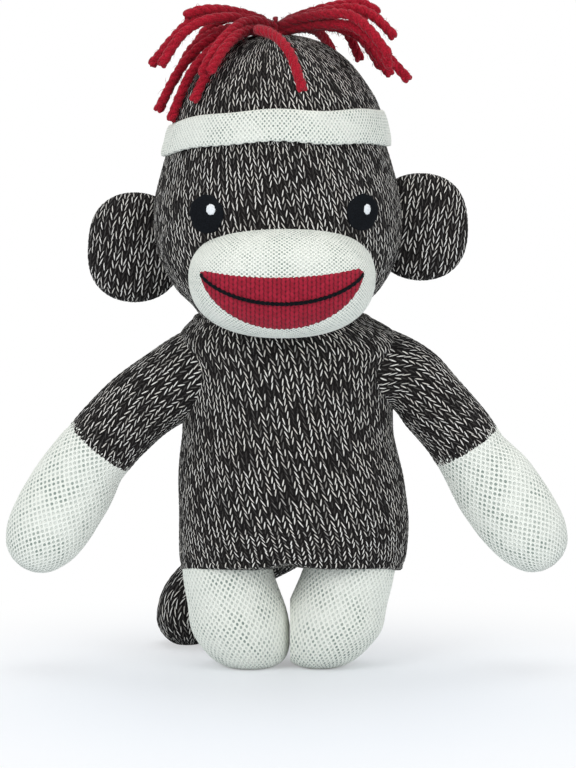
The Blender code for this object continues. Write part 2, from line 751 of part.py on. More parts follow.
def make_tail(floor):
    path = tail_path()
    root, first = path[0]
    tip, last = path[-1]
    full = 2 * TAIL_RADIUS
    rings = root_rings(root, first, TAIL_RADIUS)
    rings += [(place, direction, full, full) for place, direction in path[1:]]
    rings += [
        (tip + last * (TAIL_RADIUS * sin(turn)), last, full * cos(turn), full * cos(turn))
        for turn in TAIL_TIP_TURNS
    ]
    form = new_form("tail form", rings, LIMB_SIDES, OUTWARD)
    tail = new_pivot("tail root", root, torso)
    cut(new_skin("tail_skin", form, [root_opening(root, first, TAIL_RADIUS)], marled, tail), floor)
    cut(new_stuffing("tail_stuffing", form, tail), floor)


def crown_height(reach):
    """How far the hat's crown has fallen at a distance from its top, steep past its rim."""
    inside = min(reach, CROWN_RADIUS * CROWN_RIM_SHARE)
    return CROWN_FALL * (1 - sqrt(1 - (inside / CROWN_RADIUS) ** 2)) + (reach - inside) * 2


def yarn_half(side, row, layer, fan, reach, rise):
    """Places along half a length of yarn, from the tie out over the hat."""
    start = Vector((0, row, 0))
    place = start.copy()
    step = reach / YARN_STEPS
    stand = TUFT_STAND + layer * YARN_PITCH
    lift = rise - stand + crown_height(reach)
    places = []
    for count in range(YARN_STEPS + 1):
        share = count / YARN_STEPS
        height = stand + lift * share * share - crown_height((place - start).length)
        places.append(TUFT_BASE + Vector((place.x, place.y, height)))
        heading = fan * min(1, share / FAN_END_SHARE)
        place += Vector((side * cos(heading), -sin(heading), 0)) * step
    return places


def make_tuft():
    number = 0
    for layer, yarns in enumerate((LOWER_YARNS, UPPER_YARNS)):
        for index, (left, right) in enumerate(yarns):
            row = (index - (len(yarns) - 1) / 2) * YARN_PITCH
            places = yarn_half(-1, row, layer, *left)[:0:-1] + yarn_half(1, row, layer, *right)
            number += 1
            mesh = tube_mesh("yarn", places, YARN_RADIUS, 1)
            new_piece(f"tuft_yarn_{number}", mesh, yarn_red, head)
    tie = []
    for step in range(DISC_SIDES):
        turn = tau * (step + 0.5) / DISC_SIDES
        across = copysign(abs(cos(turn)) ** TIE_SQUARENESS_SHARE, cos(turn))
        rise = copysign(abs(sin(turn)) ** TIE_SQUARENESS_SHARE, sin(turn))
        tie.append(
            TUFT_BASE + Vector((0, TIE_HALF_WIDTH * across, TIE_MIDDLE + TIE_HALF_HEIGHT * rise))
        )
    curve = bpy.data.curves.new("tie", "CURVE")
    curve.dimensions = "3D"
    curve.bevel_depth = TIE_THREAD_RADIUS
    curve.bevel_resolution = 1
    line = curve.splines.new("POLY")
    line.use_cyclic_u = True
    line.points.add(len(tie) - 1)
    for point, place in zip(line.points, tie):
        point.co = (*place, 1)
    new_piece("tuft_tie", mesh_of_curve(new_guide("tie", curve)), yarn_red, head)


remove_everything()
pieces = new_collection("sock monkey doll", False)
guides = new_collection("cutters and forms", True)

marled = new_material("marled knit", (0.105, 0.090, 0.085), 0.95)
cream = new_material("cream knit", (0.80, 0.83, 0.79), 0.95)
mouth_red = new_material("red knit", (0.42, 0.020, 0.050), 0.95)
yarn_red = new_material("red yarn", (0.46, 0.012, 0.028), 0.90)
thread_black = new_material("black thread", (0.012, 0.012, 0.018), 0.60)
thread_white = new_material("white thread", (0.85, 0.86, 0.86), 0.70)
stuffing_white = new_material("stuffing", (0.80, 0.80, 0.78), 1.0)

torso = new_pivot("torso", Vector((0, 0, 0)))
head = new_pivot("neck", NECK_CENTRE, torso)

floor = new_block(
    "floor", Vector((-TORSO_WIDTH, -TORSO_WIDTH, -OVERRUN)), Vector((TORSO_WIDTH, TORSO_WIDTH, 0))
)
neck_ball = new_ball("saucer", NECK_CENTRE, NECK_SPHERE_RADIUS + SOCKET_GAP, SAUCER_SIDES)
under_head = new_block(
    "under head",
    Vector((-HEAD_WIDTH, -HEAD_WIDTH, HEAD_BOTTOM_Z - OVERRUN)),
    Vector((HEAD_WIDTH, HEAD_WIDTH, HEAD_BOTTOM_Z + UNDER_HEAD_HEIGHT)),
)
cut(under_head, new_ball("head's underside", NECK_CENTRE, NECK_SPHERE_RADIUS, SAUCER_SIDES))

sockets = [new_ball("tail hole", tail_path()[0][0], TAIL_RADIUS + SOCKET_GAP, DISC_SIDES)]
for side, word in ((-1, "left"), (1, "right")):
    shoulder = arm_path(side)[0][0]
    sockets.append(new_ball(f"armhole {word}", shoulder, ARM_RADIUS + ARMHOLE_GAP, DISC_SIDES))
    hip = Vector((side * HIP_OUT, 0, HIP_Z))
    swung = turned_round(leg_axis(side), "X", -LEG_SWING_FORWARD)
    sockets.append(leg_socket(f"leg hole {word}", hip, swung))

make_neck_pad(make_torso(neck_ball, sockets))
head_form = new_form("head form", head_rings(), FORM_SIDES)
head_near = grown_form(head_form, SEAM_GAP)
make_head(head_form, under_head)
make_cuff(head_near)
muzzle_form = new_form("muzzle form", muzzle_rings(), FORM_SIDES, UP)
make_muzzle(muzzle_form, head_near)
make_mouth(muzzle_form)
make_eyes(head_form, head_near)
for side, word, height in ((-1, "left", EAR_LEFT_Z), (1, "right", EAR_RIGHT_Z)):
    make_ear(side, word, height, head_near)
for side, word in ((-1, "left"), (1, "right")):
    make_arm(side, word)
    make_leg(side, word, floor)
make_tail(floor)
make_tuft()
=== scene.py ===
# %% [markdown]
# # A sock monkey in Blender
#
# This lesson dresses a ready-made frame, a stuffed sock monkey made of plain solids, with knit,
# yarn and embroidery. Each piece takes the place of a plain solid, and the pieces of the trunk,
# head, face, hat and tail move with the same part of the doll. All lengths are in metres.

# %% Load the frame
from math import cos, pi, radians, sin, sqrt, tan

import bpy
import numpy as np
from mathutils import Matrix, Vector
from mathutils.bvhtree import BVHTree


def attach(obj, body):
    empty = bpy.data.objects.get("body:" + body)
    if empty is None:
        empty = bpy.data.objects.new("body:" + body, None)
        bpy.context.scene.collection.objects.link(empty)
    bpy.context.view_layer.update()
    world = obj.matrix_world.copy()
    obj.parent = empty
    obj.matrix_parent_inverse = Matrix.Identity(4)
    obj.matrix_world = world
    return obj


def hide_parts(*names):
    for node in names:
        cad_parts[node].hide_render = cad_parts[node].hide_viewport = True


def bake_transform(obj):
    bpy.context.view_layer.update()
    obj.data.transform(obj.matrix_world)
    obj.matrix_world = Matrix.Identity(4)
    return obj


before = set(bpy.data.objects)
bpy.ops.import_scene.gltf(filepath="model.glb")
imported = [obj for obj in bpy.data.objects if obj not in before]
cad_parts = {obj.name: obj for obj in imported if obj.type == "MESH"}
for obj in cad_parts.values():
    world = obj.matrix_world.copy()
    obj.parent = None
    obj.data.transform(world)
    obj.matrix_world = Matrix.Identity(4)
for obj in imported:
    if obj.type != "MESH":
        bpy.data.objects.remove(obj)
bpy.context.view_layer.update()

MM = 0.001

# %% [markdown]
# ## Camera, light and floor
#
# A toy this small is photographed from more than a metre away with a long lens, so that nearer
# parts don't look larger. The camera looks down a little. The light is a large soft lamp on
# either side and one above, and the floor fades to white away from the doll, so that only the
# soft shadow under it is left.

# %% Camera
LOOK_DOWN = radians(7)
CAMERA_DISTANCE = 1.2
VIEW_HEIGHT = 0.2381
SENSOR = 36.0
look_at = Vector((-0.0006, 0, 0.0887))

camera = bpy.data.objects.new("camera", bpy.data.cameras.new("camera"))
bpy.context.scene.collection.objects.link(camera)
camera.data.sensor_fit = "VERTICAL"
camera.data.sensor_height = SENSOR
camera.data.lens = SENSOR * CAMERA_DISTANCE / VIEW_HEIGHT
camera.data.clip_start = 0.05
camera.location = look_at + CAMERA_DISTANCE * Vector((0, -cos(LOOK_DOWN), sin(LOOK_DOWN)))
camera.rotation_euler = (pi / 2 - LOOK_DOWN, 0, 0)
bpy.context.scene.camera = camera
print("lens:", round(camera.data.lens, 1), "mm")


# %% Lamps
def new_lamp(name, place, size, power):
    """A square soft lamp that faces the middle of the doll."""
    bpy.ops.object.light_add(type="AREA", location=place)
    lamp = bpy.context.object
    lamp.name = name
    lamp.data.size = size
    lamp.data.energy = power
    lamp.rotation_euler = (look_at - Vector(place)).to_track_quat("-Z", "Y").to_euler()
    return lamp


new_lamp("lamp left", (-0.75, -0.95, 0.75), 0.7, 7.5)
new_lamp("lamp right", (0.85, -0.80, 0.55), 0.8, 5.0)
new_lamp("lamp above", (0.0, 0.15, 1.2), 0.8, 5.5)


# %% Nodes, wired by name
def plug(tree, socket, value):
    """Links a socket to another node's output, or sets it to a plain value."""
    if isinstance(value, bpy.types.NodeSocket):
        tree.links.new(value, socket)
    else:
        socket.default_value = value


def calc(tree, what, *values):
    node = tree.nodes.new("ShaderNodeMath")
    node.operation = what
    for socket, value in zip(node.inputs, values):
        plug(tree, socket, value)
    return node.outputs[0]


def plus(tree, first, second):
    return calc(tree, "ADD", first, second)


def minus(tree, first, second):
    return calc(tree, "SUBTRACT", first, second)


def times(tree, first, second):
    return calc(tree, "MULTIPLY", first, second)


def mixed(tree, share, first, second):
    node = tree.nodes.new("ShaderNodeMix")
    node.data_type = "RGBA"
    plug(tree, node.inputs["Factor"], share)
    plug(tree, node.inputs["A"], first)
    plug(tree, node.inputs["B"], second)
    return node.outputs["Result"]


def ramped(tree, value, low, high, floor=0.0, top=1.0):
    """The value turned from the range low to high into floor to top, with soft ends."""
    node = tree.nodes.new("ShaderNodeMapRange")
    node.interpolation_type = "SMOOTHSTEP"
    for name, number in zip(("From Min", "From Max", "To Min", "To Max"), (low, high, floor, top)):
        node.inputs[name].default_value = number
    tree.links.new(value, node.inputs["Value"])
    return node.outputs["Result"]


def vector_of(tree, x, y, z=0.0):
    node = tree.nodes.new("ShaderNodeCombineXYZ")
    for socket, value in zip(node.inputs, (x, y, z)):
        plug(tree, socket, value)
    return node.outputs[0]


def parts_of(tree, vector):
    node = tree.nodes.new("ShaderNodeSeparateXYZ")
    tree.links.new(vector, node.inputs[0])
    return node.outputs["X"], node.outputs["Y"], node.outputs["Z"]


def noise(tree, vector, scale, detail=2.0):
    node = tree.nodes.new("ShaderNodeTexNoise")
    node.inputs["Scale"].default_value = scale
    node.inputs["Detail"].default_value = detail
    tree.links.new(vector, node.inputs["Vector"])
    return node.outputs["Fac"]


# %% White surroundings
world = bpy.context.scene.world or bpy.data.worlds.new("studio")
bpy.context.scene.world = world
world.use_nodes = True
sky = world.node_tree
sky.nodes.clear()
sky_out = sky.nodes.new("ShaderNodeOutputWorld")
sky_light = sky.nodes.new("ShaderNodeBackground")
sky_light.inputs["Color"].default_value = (0.93, 0.96, 1.0, 1)
sky_light.inputs["Strength"].default_value = 0.45
sky_seen = sky.nodes.new("ShaderNodeBackground")
sky_seen.inputs["Color"].default_value = (1, 1, 1, 1)
sky_mix = sky.nodes.new("ShaderNodeMixShader")
sky_rays = sky.nodes.new("ShaderNodeLightPath")
sky.links.new(sky_rays.outputs["Is Camera Ray"], sky_mix.inputs["Fac"])
sky.links.new(sky_light.outputs[0], sky_mix.inputs[1])
sky.links.new(sky_seen.outputs[0], sky_mix.inputs[2])
sky.links.new(sky_mix.outputs[0], sky_out.inputs["Surface"])


# %% Floor
def select_none():
    bpy.ops.object.select_all(action="DESELECT")


select_none()
bpy.ops.mesh.primitive_plane_add(size=30)
floor = bpy.context.object
floor.name = "floor"
floor_paint = bpy.data.materials.new("floor_paint")
floor_paint.use_nodes = True
floor.data.materials.append(floor_paint)
tree = floor_paint.node_tree
body = tree.nodes["Principled BSDF"]
body.inputs["Base Color"].default_value = (0.88, 0.92, 0.97, 1)
body.inputs["Roughness"].default_value = 0.55
rays = tree.nodes.new("ShaderNodeLightPath")
plain_white = tree.nodes.new("ShaderNodeEmission")
spot = tree.nodes.new("ShaderNodeTexCoord")
length = tree.nodes.new("ShaderNodeVectorMath")
length.operation = "LENGTH"
nearer = tree.nodes.new("ShaderNodeVectorMath")
nearer.operation = "ADD"
nearer.inputs[1].default_value = (0, 0.055, 0)
tree.links.new(spot.outputs["Object"], nearer.inputs[0])
tree.links.new(nearer.outputs[0], length.inputs[0])
away = ramped(tree, length.outputs["Value"], 0.04, 0.19, 0.30, 1.0)
floor_mix = tree.nodes.new("ShaderNodeMixShader")
tree.links.new(times(tree, away, rays.outputs["Is Camera Ray"]), floor_mix.inputs["Fac"])
tree.links.new(body.outputs[0], floor_mix.inputs[1])
tree.links.new(plain_white.outputs[0], floor_mix.inputs[2])
tree.links.new(floor_mix.outputs[0], tree.nodes["Material Output"].inputs["Surface"])
bpy.context.scene.view_settings.view_transform = "Standard"

# %% [markdown]
# ## Stitches
#
# Stocking stitch is a field of V shapes. Each V has two legs of yarn that lean outwards, and
# each V sits in the one under it. The same sums draw the V in two places: in the mesh, as
# relief, and in the material, as colour, as painted shade in the grooves between the legs and
# as the finer grooves. Both read one UV map that counts stitches: one unit across is one column
# of Vs, and one unit up is one row.
#
# The marled yarn is a dark strand twisted with a cream one, so that cream shows on some legs as
# a short slanted dash, and on others not at all.

# %% Stitch sizes
MARL_WALE = 2.75 * MM
MARL_COURSE = 2.0 * MM
MARL_SKEW = 0.135
MOUTH_WALE = 2.6 * MM
MOUTH_COURSE = 1.45 * MM
CREAM_WALE = 1.80 * MM
CREAM_COURSE = 1.12 * MM
FINE = 0.72
COLUMN_STEP = 0.38
CHEVRON = 1.2
LEG_TILT = radians(17)
LEG_HALF_WIDTH = 0.29
LEG_HALF_LENGTH = 0.52


def new_group(name, inputs, outputs):
    group = bpy.data.node_groups.new(name, "ShaderNodeTree")
    for socket in inputs:
        group.interface.new_socket(socket[0], in_out="INPUT", socket_type=socket[1])
    for socket in outputs:
        group.interface.new_socket(socket[0], in_out="OUTPUT", socket_type=socket[1])
    return group, group.nodes.new("NodeGroupInput").outputs, group.nodes.new("NodeGroupOutput").inputs


# %% The V stitch as a node group
# Across and Along place a point on its own leg of yarn, in columns' widths from the leg's middle.
stitch, given, result = new_group(
    "v_stitch",
    [("UV", "NodeSocketVector"), ("Aspect", "NodeSocketFloat")],
    [(name, "NodeSocketFloat") for name in ("Across", "Along", "Height")] + [("Leg", "NodeSocketVector")],
)
u, v, _ = parts_of(stitch, given["UV"])
in_column = calc(stitch, "FRACT", u)
right_leg = calc(stitch, "GREATER_THAN", in_column, 0.5)
out = calc(stitch, "ABSOLUTE", minus(stitch, in_column, 0.5))
stepped = plus(stitch, v, times(stitch, calc(stitch, "FLOOR", u), COLUMN_STEP))
raised = minus(stitch, stepped, times(stitch, out, CHEVRON))
row = calc(stitch, "FLOOR", raised)
side_step = minus(stitch, out, 0.25)
up_step = plus(stitch, minus(stitch, calc(stitch, "FRACT", raised), 0.5),
               times(stitch, side_step, CHEVRON))
up_step = times(stitch, up_step, given["Aspect"])
across = minus(stitch, times(stitch, side_step, cos(LEG_TILT)),
              times(stitch, up_step, sin(LEG_TILT)))
along = plus(stitch, times(stitch, side_step, sin(LEG_TILT)),
             times(stitch, up_step, cos(LEG_TILT)))
thin = calc(stitch, "POWER", calc(stitch, "DIVIDE", across, LEG_HALF_WIDTH), 2.0)
short = calc(stitch, "POWER", calc(stitch, "DIVIDE", along, LEG_HALF_LENGTH), 2.0)
left_over = minus(stitch, 1.0, plus(stitch, thin, short))
plug(stitch, result["Across"], across)
plug(stitch, result["Along"], along)
plug(stitch, result["Height"], calc(stitch, "SQRT", calc(stitch, "MAXIMUM", left_over, 0.0)))
column = plus(stitch, times(stitch, calc(stitch, "FLOOR", u), 2.0), right_leg)
plug(stitch, result["Leg"], vector_of(stitch, column, row))


def stitch_height(uv, aspect):
    """The same V stitch for mesh points: 1 on the ridge of a leg, 0 in the grooves."""
    out = np.abs(uv[..., 0] % 1 - 0.5)
    raised = uv[..., 1] + COLUMN_STEP * np.floor(uv[..., 0]) - CHEVRON * out
    side_step = out - 0.25
    up_step = (raised % 1 - 0.5 + CHEVRON * side_step) * aspect
    across = side_step * cos(LEG_TILT) - up_step * sin(LEG_TILT)
    along = side_step * sin(LEG_TILT) + up_step * cos(LEG_TILT)
    left_over = 1 - (across / LEG_HALF_WIDTH) ** 2 - (along / LEG_HALF_LENGTH) ** 2
    return np.sqrt(np.maximum(left_over, 0))


def eyelet_height(uv, aspect):
    """Fine close ribs with a pinhole between them in each row, stepped by half from row to row."""
    rib = 0.5 - 0.5 * np.cos(2 * pi * uv[..., 0] * 2)
    hole_u = (uv[..., 0] + 0.5 * (np.floor(uv[..., 1]) % 2)) % 1 - 0.5
    hole_v = (uv[..., 1] % 1 - 0.5) * aspect
    hole = np.exp(-((hole_u / 0.19) ** 2 + (hole_v / 0.24) ** 2))
    return np.clip(0.35 * rib + 0.65 - 1.1 * hole, 0, 1)


# %% Random values for each leg of yarn
def leg_random(tree, leg, seed):
    node = tree.nodes.new("ShaderNodeTexWhiteNoise")
    node.noise_dimensions = "3D"
    shifted = tree.nodes.new("ShaderNodeVectorMath")
    shifted.operation = "ADD"
    shifted.inputs[1].default_value = (0.37, 0.61, seed)
    tree.links.new(leg, shifted.inputs[0])
    tree.links.new(shifted.outputs[0], node.inputs["Vector"])
    return parts_of(tree, node.outputs["Color"])


def new_coat(name, roughness, sheen=0.0, sheen_roughness=0.5):
    """A material with its Principled shader, ready for colour and bump."""
    coat = bpy.data.materials.new(name)
    coat.use_nodes = True
    shader = coat.node_tree.nodes["Principled BSDF"]
    shader.inputs["Roughness"].default_value = roughness
    shader.inputs["Specular IOR Level"].default_value = 0.25
    shader.inputs["Sheen Weight"].default_value = sheen
    shader.inputs["Sheen Roughness"].default_value = sheen_roughness
    return coat, coat.node_tree, shader


def knit_uv(tree):
    node = tree.nodes.new("ShaderNodeUVMap")
    node.uv_map = "knit"
    return node.outputs["UV"]


def object_place(tree):
    return tree.nodes.new("ShaderNodeTexCoord").outputs["Object"]


def bumped(tree, shader, height, distance, strength=1.0):
    node = tree.nodes.new("ShaderNodeBump")
    node.inputs["Distance"].default_value = distance
    node.inputs["Strength"].default_value = strength
    tree.links.new(height, node.inputs["Height"])
    tree.links.new(node.outputs["Normal"], shader.inputs["Normal"])


def stitched(tree, aspect):
    node = tree.nodes.new("ShaderNodeGroup")
    node.node_tree = stitch
    node.inputs["Aspect"].default_value = aspect
    tree.links.new(knit_uv(tree), node.inputs["UV"])
    return node.outputs


# %% Marled knit
DASH_HALF_WIDTH, DASH_HALF_LENGTH = 0.073, 0.51

marled, tree, shader = new_coat("marled_knit", 0.9, 0.02)
shader.inputs["Specular IOR Level"].default_value = 0.12
leg = stitched(tree, MARL_COURSE / MARL_WALE)
shown, sideways, endways = leg_random(tree, leg["Leg"], 1.7)
tint, grey, lean = leg_random(tree, leg["Leg"], 5.3)
dash_across = minus(tree, leg["Across"], times(tree, minus(tree, sideways, 0.5), 0.12))
dash_along = minus(tree, leg["Along"], times(tree, minus(tree, endways, 0.5), 0.18))
dash_across = minus(tree, dash_across,
                   times(tree, dash_along, times(tree, minus(tree, lean, 0.5), 0.25)))
dash = minus(tree, 1.0, plus(tree, calc(tree, "POWER", calc(tree, "DIVIDE", dash_across, DASH_HALF_WIDTH), 2.0),
    calc(tree, "POWER", calc(tree, "DIVIDE", dash_along, DASH_HALF_LENGTH), 2.0)))
dash = ramped(tree, dash, 0.0, 0.55)
strands = noise(tree, vector_of(tree, times(tree, leg["Across"], 26.0),
                                times(tree, leg["Along"], 4.0),
                                times(tree, grey, 40.0)), 1.0)
cream_share = times(tree, dash, ramped(tree, shown, 0.08, 0.6, 0.04, 1.0))
cream_share = times(tree, cream_share, ramped(tree, strands, 0.25, 0.6, 0.55, 1.0))
dark = mixed(tree, ramped(tree, strands, 0.35, 0.75), (0.0030, 0.0026, 0.0027, 1), (0.024, 0.020, 0.019, 1))
pale = mixed(tree, tint, (0.80, 0.76, 0.69, 1), (1.0, 0.98, 0.93, 1))
# Painted shade: the grooves between the legs of yarn are darkened towards near black.
painted_groove_shade = ramped(tree, leg["Height"], 0.0, 0.6, 0.35, 1.0)
colour = mixed(tree, cream_share, dark, pale)
colour = mixed(tree, painted_groove_shade, (0.004, 0.004, 0.004, 1), colour)
tree.links.new(colour, shader.inputs["Base Color"])
bumped(tree, shader, plus(tree, times(tree, leg["Height"], 0.5), plus(tree, times(tree, dash, 0.35), times(tree, strands, 0.3))), 0.45 * MM)

# %% Red knit of the mouth
red_knit, tree, shader = new_coat("red_knit", 0.85, 0.05)
leg = stitched(tree, MOUTH_COURSE / MOUTH_WALE)
tint, _, _ = leg_random(tree, leg["Leg"], 2.9)
strands = noise(tree, vector_of(tree, times(tree, leg["Across"], 24.0),
                                times(tree, leg["Along"], 5.0), tint), 1.0)
colour = mixed(tree, tint, (0.26, 0.005, 0.020, 1), (0.36, 0.010, 0.032, 1))
colour = mixed(tree, ramped(tree, strands, 0.3, 0.8, 0.0, 0.35), colour, (0.50, 0.02, 0.045, 1))
# Painted shade: the grooves between the legs of yarn are darkened to a deep red.
colour = mixed(tree, ramped(tree, leg["Height"], 0.35, 0.97, 0.0, 1.0), (0.085, 0.002, 0.009, 1), colour)
tree.links.new(colour, shader.inputs["Base Color"])
bumped(tree, shader, plus(tree, leg["Height"], times(tree, strands, 0.25)), 0.35 * MM)

# %% Cream knit of the hands, feet, muzzle and cuff
cream_knit, tree, shader = new_coat("cream_knit", 0.9, 0.1)
u, v, _ = parts_of(tree, knit_uv(tree))
rib = calc(tree, "COSINE", times(tree, u, 4 * pi))
half_step = times(tree, calc(tree, "MODULO", calc(tree, "FLOOR", v), 2.0), 0.5)
hole_u = minus(tree, calc(tree, "FRACT", plus(tree, u, half_step)), 0.5)
hole_v = times(tree, minus(tree, calc(tree, "FRACT", v), 0.5), CREAM_COURSE / CREAM_WALE)
reach = plus(tree, calc(tree, "POWER", calc(tree, "DIVIDE", hole_u, 0.22), 2.0),
             calc(tree, "POWER", calc(tree, "DIVIDE", hole_v, 0.27), 2.0))
hole = ramped(tree, reach, 0.2, 1.6, 1.0, 0.0)
patchy = noise(tree, object_place(tree), 90.0, 1.0)
fibres = noise(tree, vector_of(tree, times(tree, u, 9.0), times(tree, v, 3.0)), 1.0)
own, _, _ = leg_random(tree, vector_of(tree, calc(tree, "FLOOR", plus(tree, u, half_step)), calc(tree, "FLOOR", v)), 3.1)
# Painted shade in the pinholes: each hole is darkened to a grey-green, more in some holes and patches than others.
depth = times(tree, ramped(tree, patchy, 0.33, 0.67, 0.3, 1.15), ramped(tree, own, 0.0, 1.0, 0.35, 0.95))
painted_hole_shade = times(tree, hole, depth)
colour = mixed(tree, fibres, (0.83, 0.85, 0.77, 1), (0.91, 0.925, 0.85, 1))
# Painted shade in the grooves between the fine ribs.
colour = mixed(tree, ramped(tree, rib, 0.2, 1.0, 0.0, 0.25), colour, (0.66, 0.72, 0.65, 1))
# Painted shade in the pinholes.
colour = mixed(tree, painted_hole_shade, colour, (0.27, 0.33, 0.29, 1))
tree.links.new(colour, shader.inputs["Base Color"])
bumped(tree, shader, minus(tree, times(tree, fibres, 0.2),
                          plus(tree, hole, times(tree, rib, 0.25))), 0.2 * MM)


# %% Yarn and thread
def fibre_coat(name, dark, pale, roughness, sheen, scale, depth, root=None):
    """A spun material: fine streaks of two close colours, with painted shade round the root if one is given."""
    coat, tree, shader = new_coat(name, roughness, sheen, 0.4)
    streak = noise(tree, object_place(tree), scale, 4.0)
    colour = mixed(tree, ramped(tree, streak, 0.3, 0.7), dark, pale)
    if root:
        away = tree.nodes.new("ShaderNodeVectorMath")
        away.operation = "DISTANCE"
        away.inputs[1].default_value = root
        tree.links.new(object_place(tree), away.inputs[0])
        # Painted shade: the yarn darkens towards the tie at its root.
        colour = mixed(tree, ramped(tree, away.outputs["Value"], 0.004, 0.026, 0.6, 0.0), colour, (0.06, 0.002, 0.005, 1))
    tree.links.new(colour, shader.inputs["Base Color"])
    bumped(tree, shader, streak, depth)
    return coat


TUFT_ROOT = (-0.0045, 0.0040, 0.1972)
red_yarn = fibre_coat("red_yarn", (0.22, 0.003, 0.010, 1), (0.47, 0.008, 0.028, 1), 0.95, 0.12,
                      2200, 0.3 * MM, TUFT_ROOT)
black_thread = fibre_coat("black_thread", (0.0015, 0.002, 0.003, 1), (0.006, 0.008, 0.011, 1), 0.6,
                          0.0, 3000, 0.1 * MM)
black_thread.node_tree.nodes["Principled BSDF"].inputs["Specular IOR Level"].default_value = 0.08
white_thread = fibre_coat("white_thread", (0.70, 0.74, 0.76, 1), (0.90, 0.92, 0.93, 1), 0.45, 0.1, 3000, 0.1 * MM)
print("materials:", [m.name for m in bpy.data.materials if m.name.split("_")[0] in
                     ("marled", "red", "cream", "black", "white")])

# %% [markdown]
# ## A tube of knit
#
# A sock toy is sewn from tubes, so one helper makes nearly every piece. It takes the rings that
# a hand would pull a tube into, rolls a fine grid round them, and lays the stitches on it in
# rows of even height. The grid is a primitive, but its points are moved in code: only that way
# does every column of stitches run true from end to end.

# %% Smooth curves through rings
def through(values, where):
    """A smooth curve through the values, read at the places where, counted in values."""
    values = np.asarray(values, float)
    last = len(values) - 1
    start = np.clip(np.floor(where).astype(int), 0, last - 1)
    t = np.asarray(where - start)
    t = t.reshape(t.shape + (1,) * (values.ndim - 1))
    before, a, b, after = (values[np.clip(start + step, 0, last)] for step in (-1, 0, 1, 2))
    return 0.5 * (2 * a + (b - before) * t + (2 * before - 5 * a + 4 * b - after) * t ** 2
                  + (3 * a - before - 3 * b + after) * t ** 3)


def held(values, where):
    """The same curve, held between the two values on either side of each place."""
    values = np.asarray(values, float)
    start = np.clip(np.floor(where).astype(int), 0, len(values) - 2)
    ends = np.sort(np.stack([values[start], values[start + 1]]), axis=0)
    return np.clip(through(values, where), *ends)


def tube_surface(rings, rows, columns, reference, turn=pi / 2):
    """Points of a smooth tube through rings of (centre, axis, width, depth), in rows of even height."""
    centres, axes, widths, depths = (np.array([tuple(r[k]) if k < 2 else r[k] for r in rings], float)
                                     for k in range(4))
    reference = np.array(reference, float)
    angles = turn + np.linspace(0, 2 * pi, columns + 1)

    def surface(where):
        centre, axis = through(centres, where), through(axes, where)
        axis /= np.linalg.norm(axis, axis=1, keepdims=True)
        side = np.cross(reference, axis)
        side /= np.linalg.norm(side, axis=1, keepdims=True)
        width = held(widths, where)[:, None, None] / 2
        depth = held(depths, where)[:, None, None] / 2
        return (centre[:, None] + side[:, None] * width * np.cos(angles)[:, None]
                + np.cross(axis, side)[:, None] * depth * np.sin(angles)[:, None])

    fine = np.linspace(0, len(rings) - 1, 60 * len(rings))
    steps = np.linalg.norm(np.diff(surface(fine)[:, ::max(1, columns // 12)], axis=0), axis=2).mean(1)
    travelled = np.concatenate([[0], np.cumsum(steps)])
    even = np.interp(np.linspace(0, travelled[-1], rows + 1), travelled, fine)
    return surface(even), travelled[-1]


def lumps(points, size, amount):
    """Slow swells and dents, such as loose stuffing leaves."""
    x, y, z = (points[..., k] / size for k in range(3))
    return amount * (np.sin(x + 1.3 * np.sin(z * 0.9)) * np.cos(y * 1.1 - 0.7 * z)
                     + 0.6 * np.sin(1.9 * z + 0.8 * np.sin(1.7 * x + y)))


# %% A knit piece from its points
KNITS = {
    "marled": (MARL_WALE, MARL_COURSE, MARL_SKEW, stitch_height, 0.38 * MM, marled, "marled_knit"),
    "cream": (CREAM_WALE, CREAM_COURSE, 0.0, eyelet_height, 0.20 * MM, cream_knit, "cream_knit"),
    "red": (MOUTH_WALE, MOUTH_COURSE, 0.0, stitch_height, 0.30 * MM, red_knit, "red_knit"),
}


def grid_piece(name, points):
    """A grid primitive whose points are moved to the given rows and columns."""
    rows, columns = points.shape[0] - 1, points.shape[1] - 1
    select_none()
    bpy.ops.mesh.primitive_grid_add(x_subdivisions=columns, y_subdivisions=rows, size=1, calc_uvs=True)
    piece = bpy.context.object
    piece.name = piece.data.name = name
    piece.data.vertices.foreach_set("co", points.reshape(-1, 3).astype(np.float32).ravel())
    piece.data.uv_layers[0].name = "OFBake"
    return piece


def add_knit_uv(piece, uv):
    layer = piece.data.uv_layers.new(name="knit")
    corner = np.empty(len(piece.data.loops), np.int32)
    piece.data.loops.foreach_get("vertex_index", corner)
    layer.data.foreach_set("uv", uv.reshape(-1, 2)[corner].astype(np.float32).ravel())


def sewn_shut(piece):
    """Merges the edges that meet, turns the faces outwards and shades them smooth."""
    bpy.ops.object.mode_set(mode="EDIT")
    bpy.ops.mesh.select_all(action="SELECT")
    bpy.ops.mesh.remove_doubles(threshold=0.00002)
    bpy.ops.mesh.normals_make_consistent(inside=False)
    bpy.ops.object.mode_set(mode="OBJECT")
    bpy.ops.object.shade_smooth()


def on_floor(piece, side=0, gap=0.0):
    """Holds a piece's points above the floor and, given a side, on that side of the middle."""
    co = np.empty(len(piece.data.vertices) * 3, np.float32)
    piece.data.vertices.foreach_get("co", co)
    co = co.reshape(-1, 3)
    if side:
        co[:, 0] = side * np.maximum(side * co[:, 0], gap)
    co[:, 2] = np.maximum(co[:, 2], 0.0)
    piece.data.vertices.foreach_set("co", co.ravel())
    piece.data.update()


def surface_normals(points):
    """Outward normals of a grid that goes once round."""
    along = np.gradient(points, axis=0)
    wrapped = np.concatenate([points[:, -2:-1], points, points[:, 1:2]], axis=1)
    around = (wrapped[:, 2:] - wrapped[:, :-2])
    normals = np.cross(around, along)
    size = np.linalg.norm(normals, axis=2, keepdims=True)
    normals = normals / np.maximum(size, 1e-12)
    outward = ((points - points.mean((0, 1))) * normals).sum()
    return normals if outward > 0 else -normals


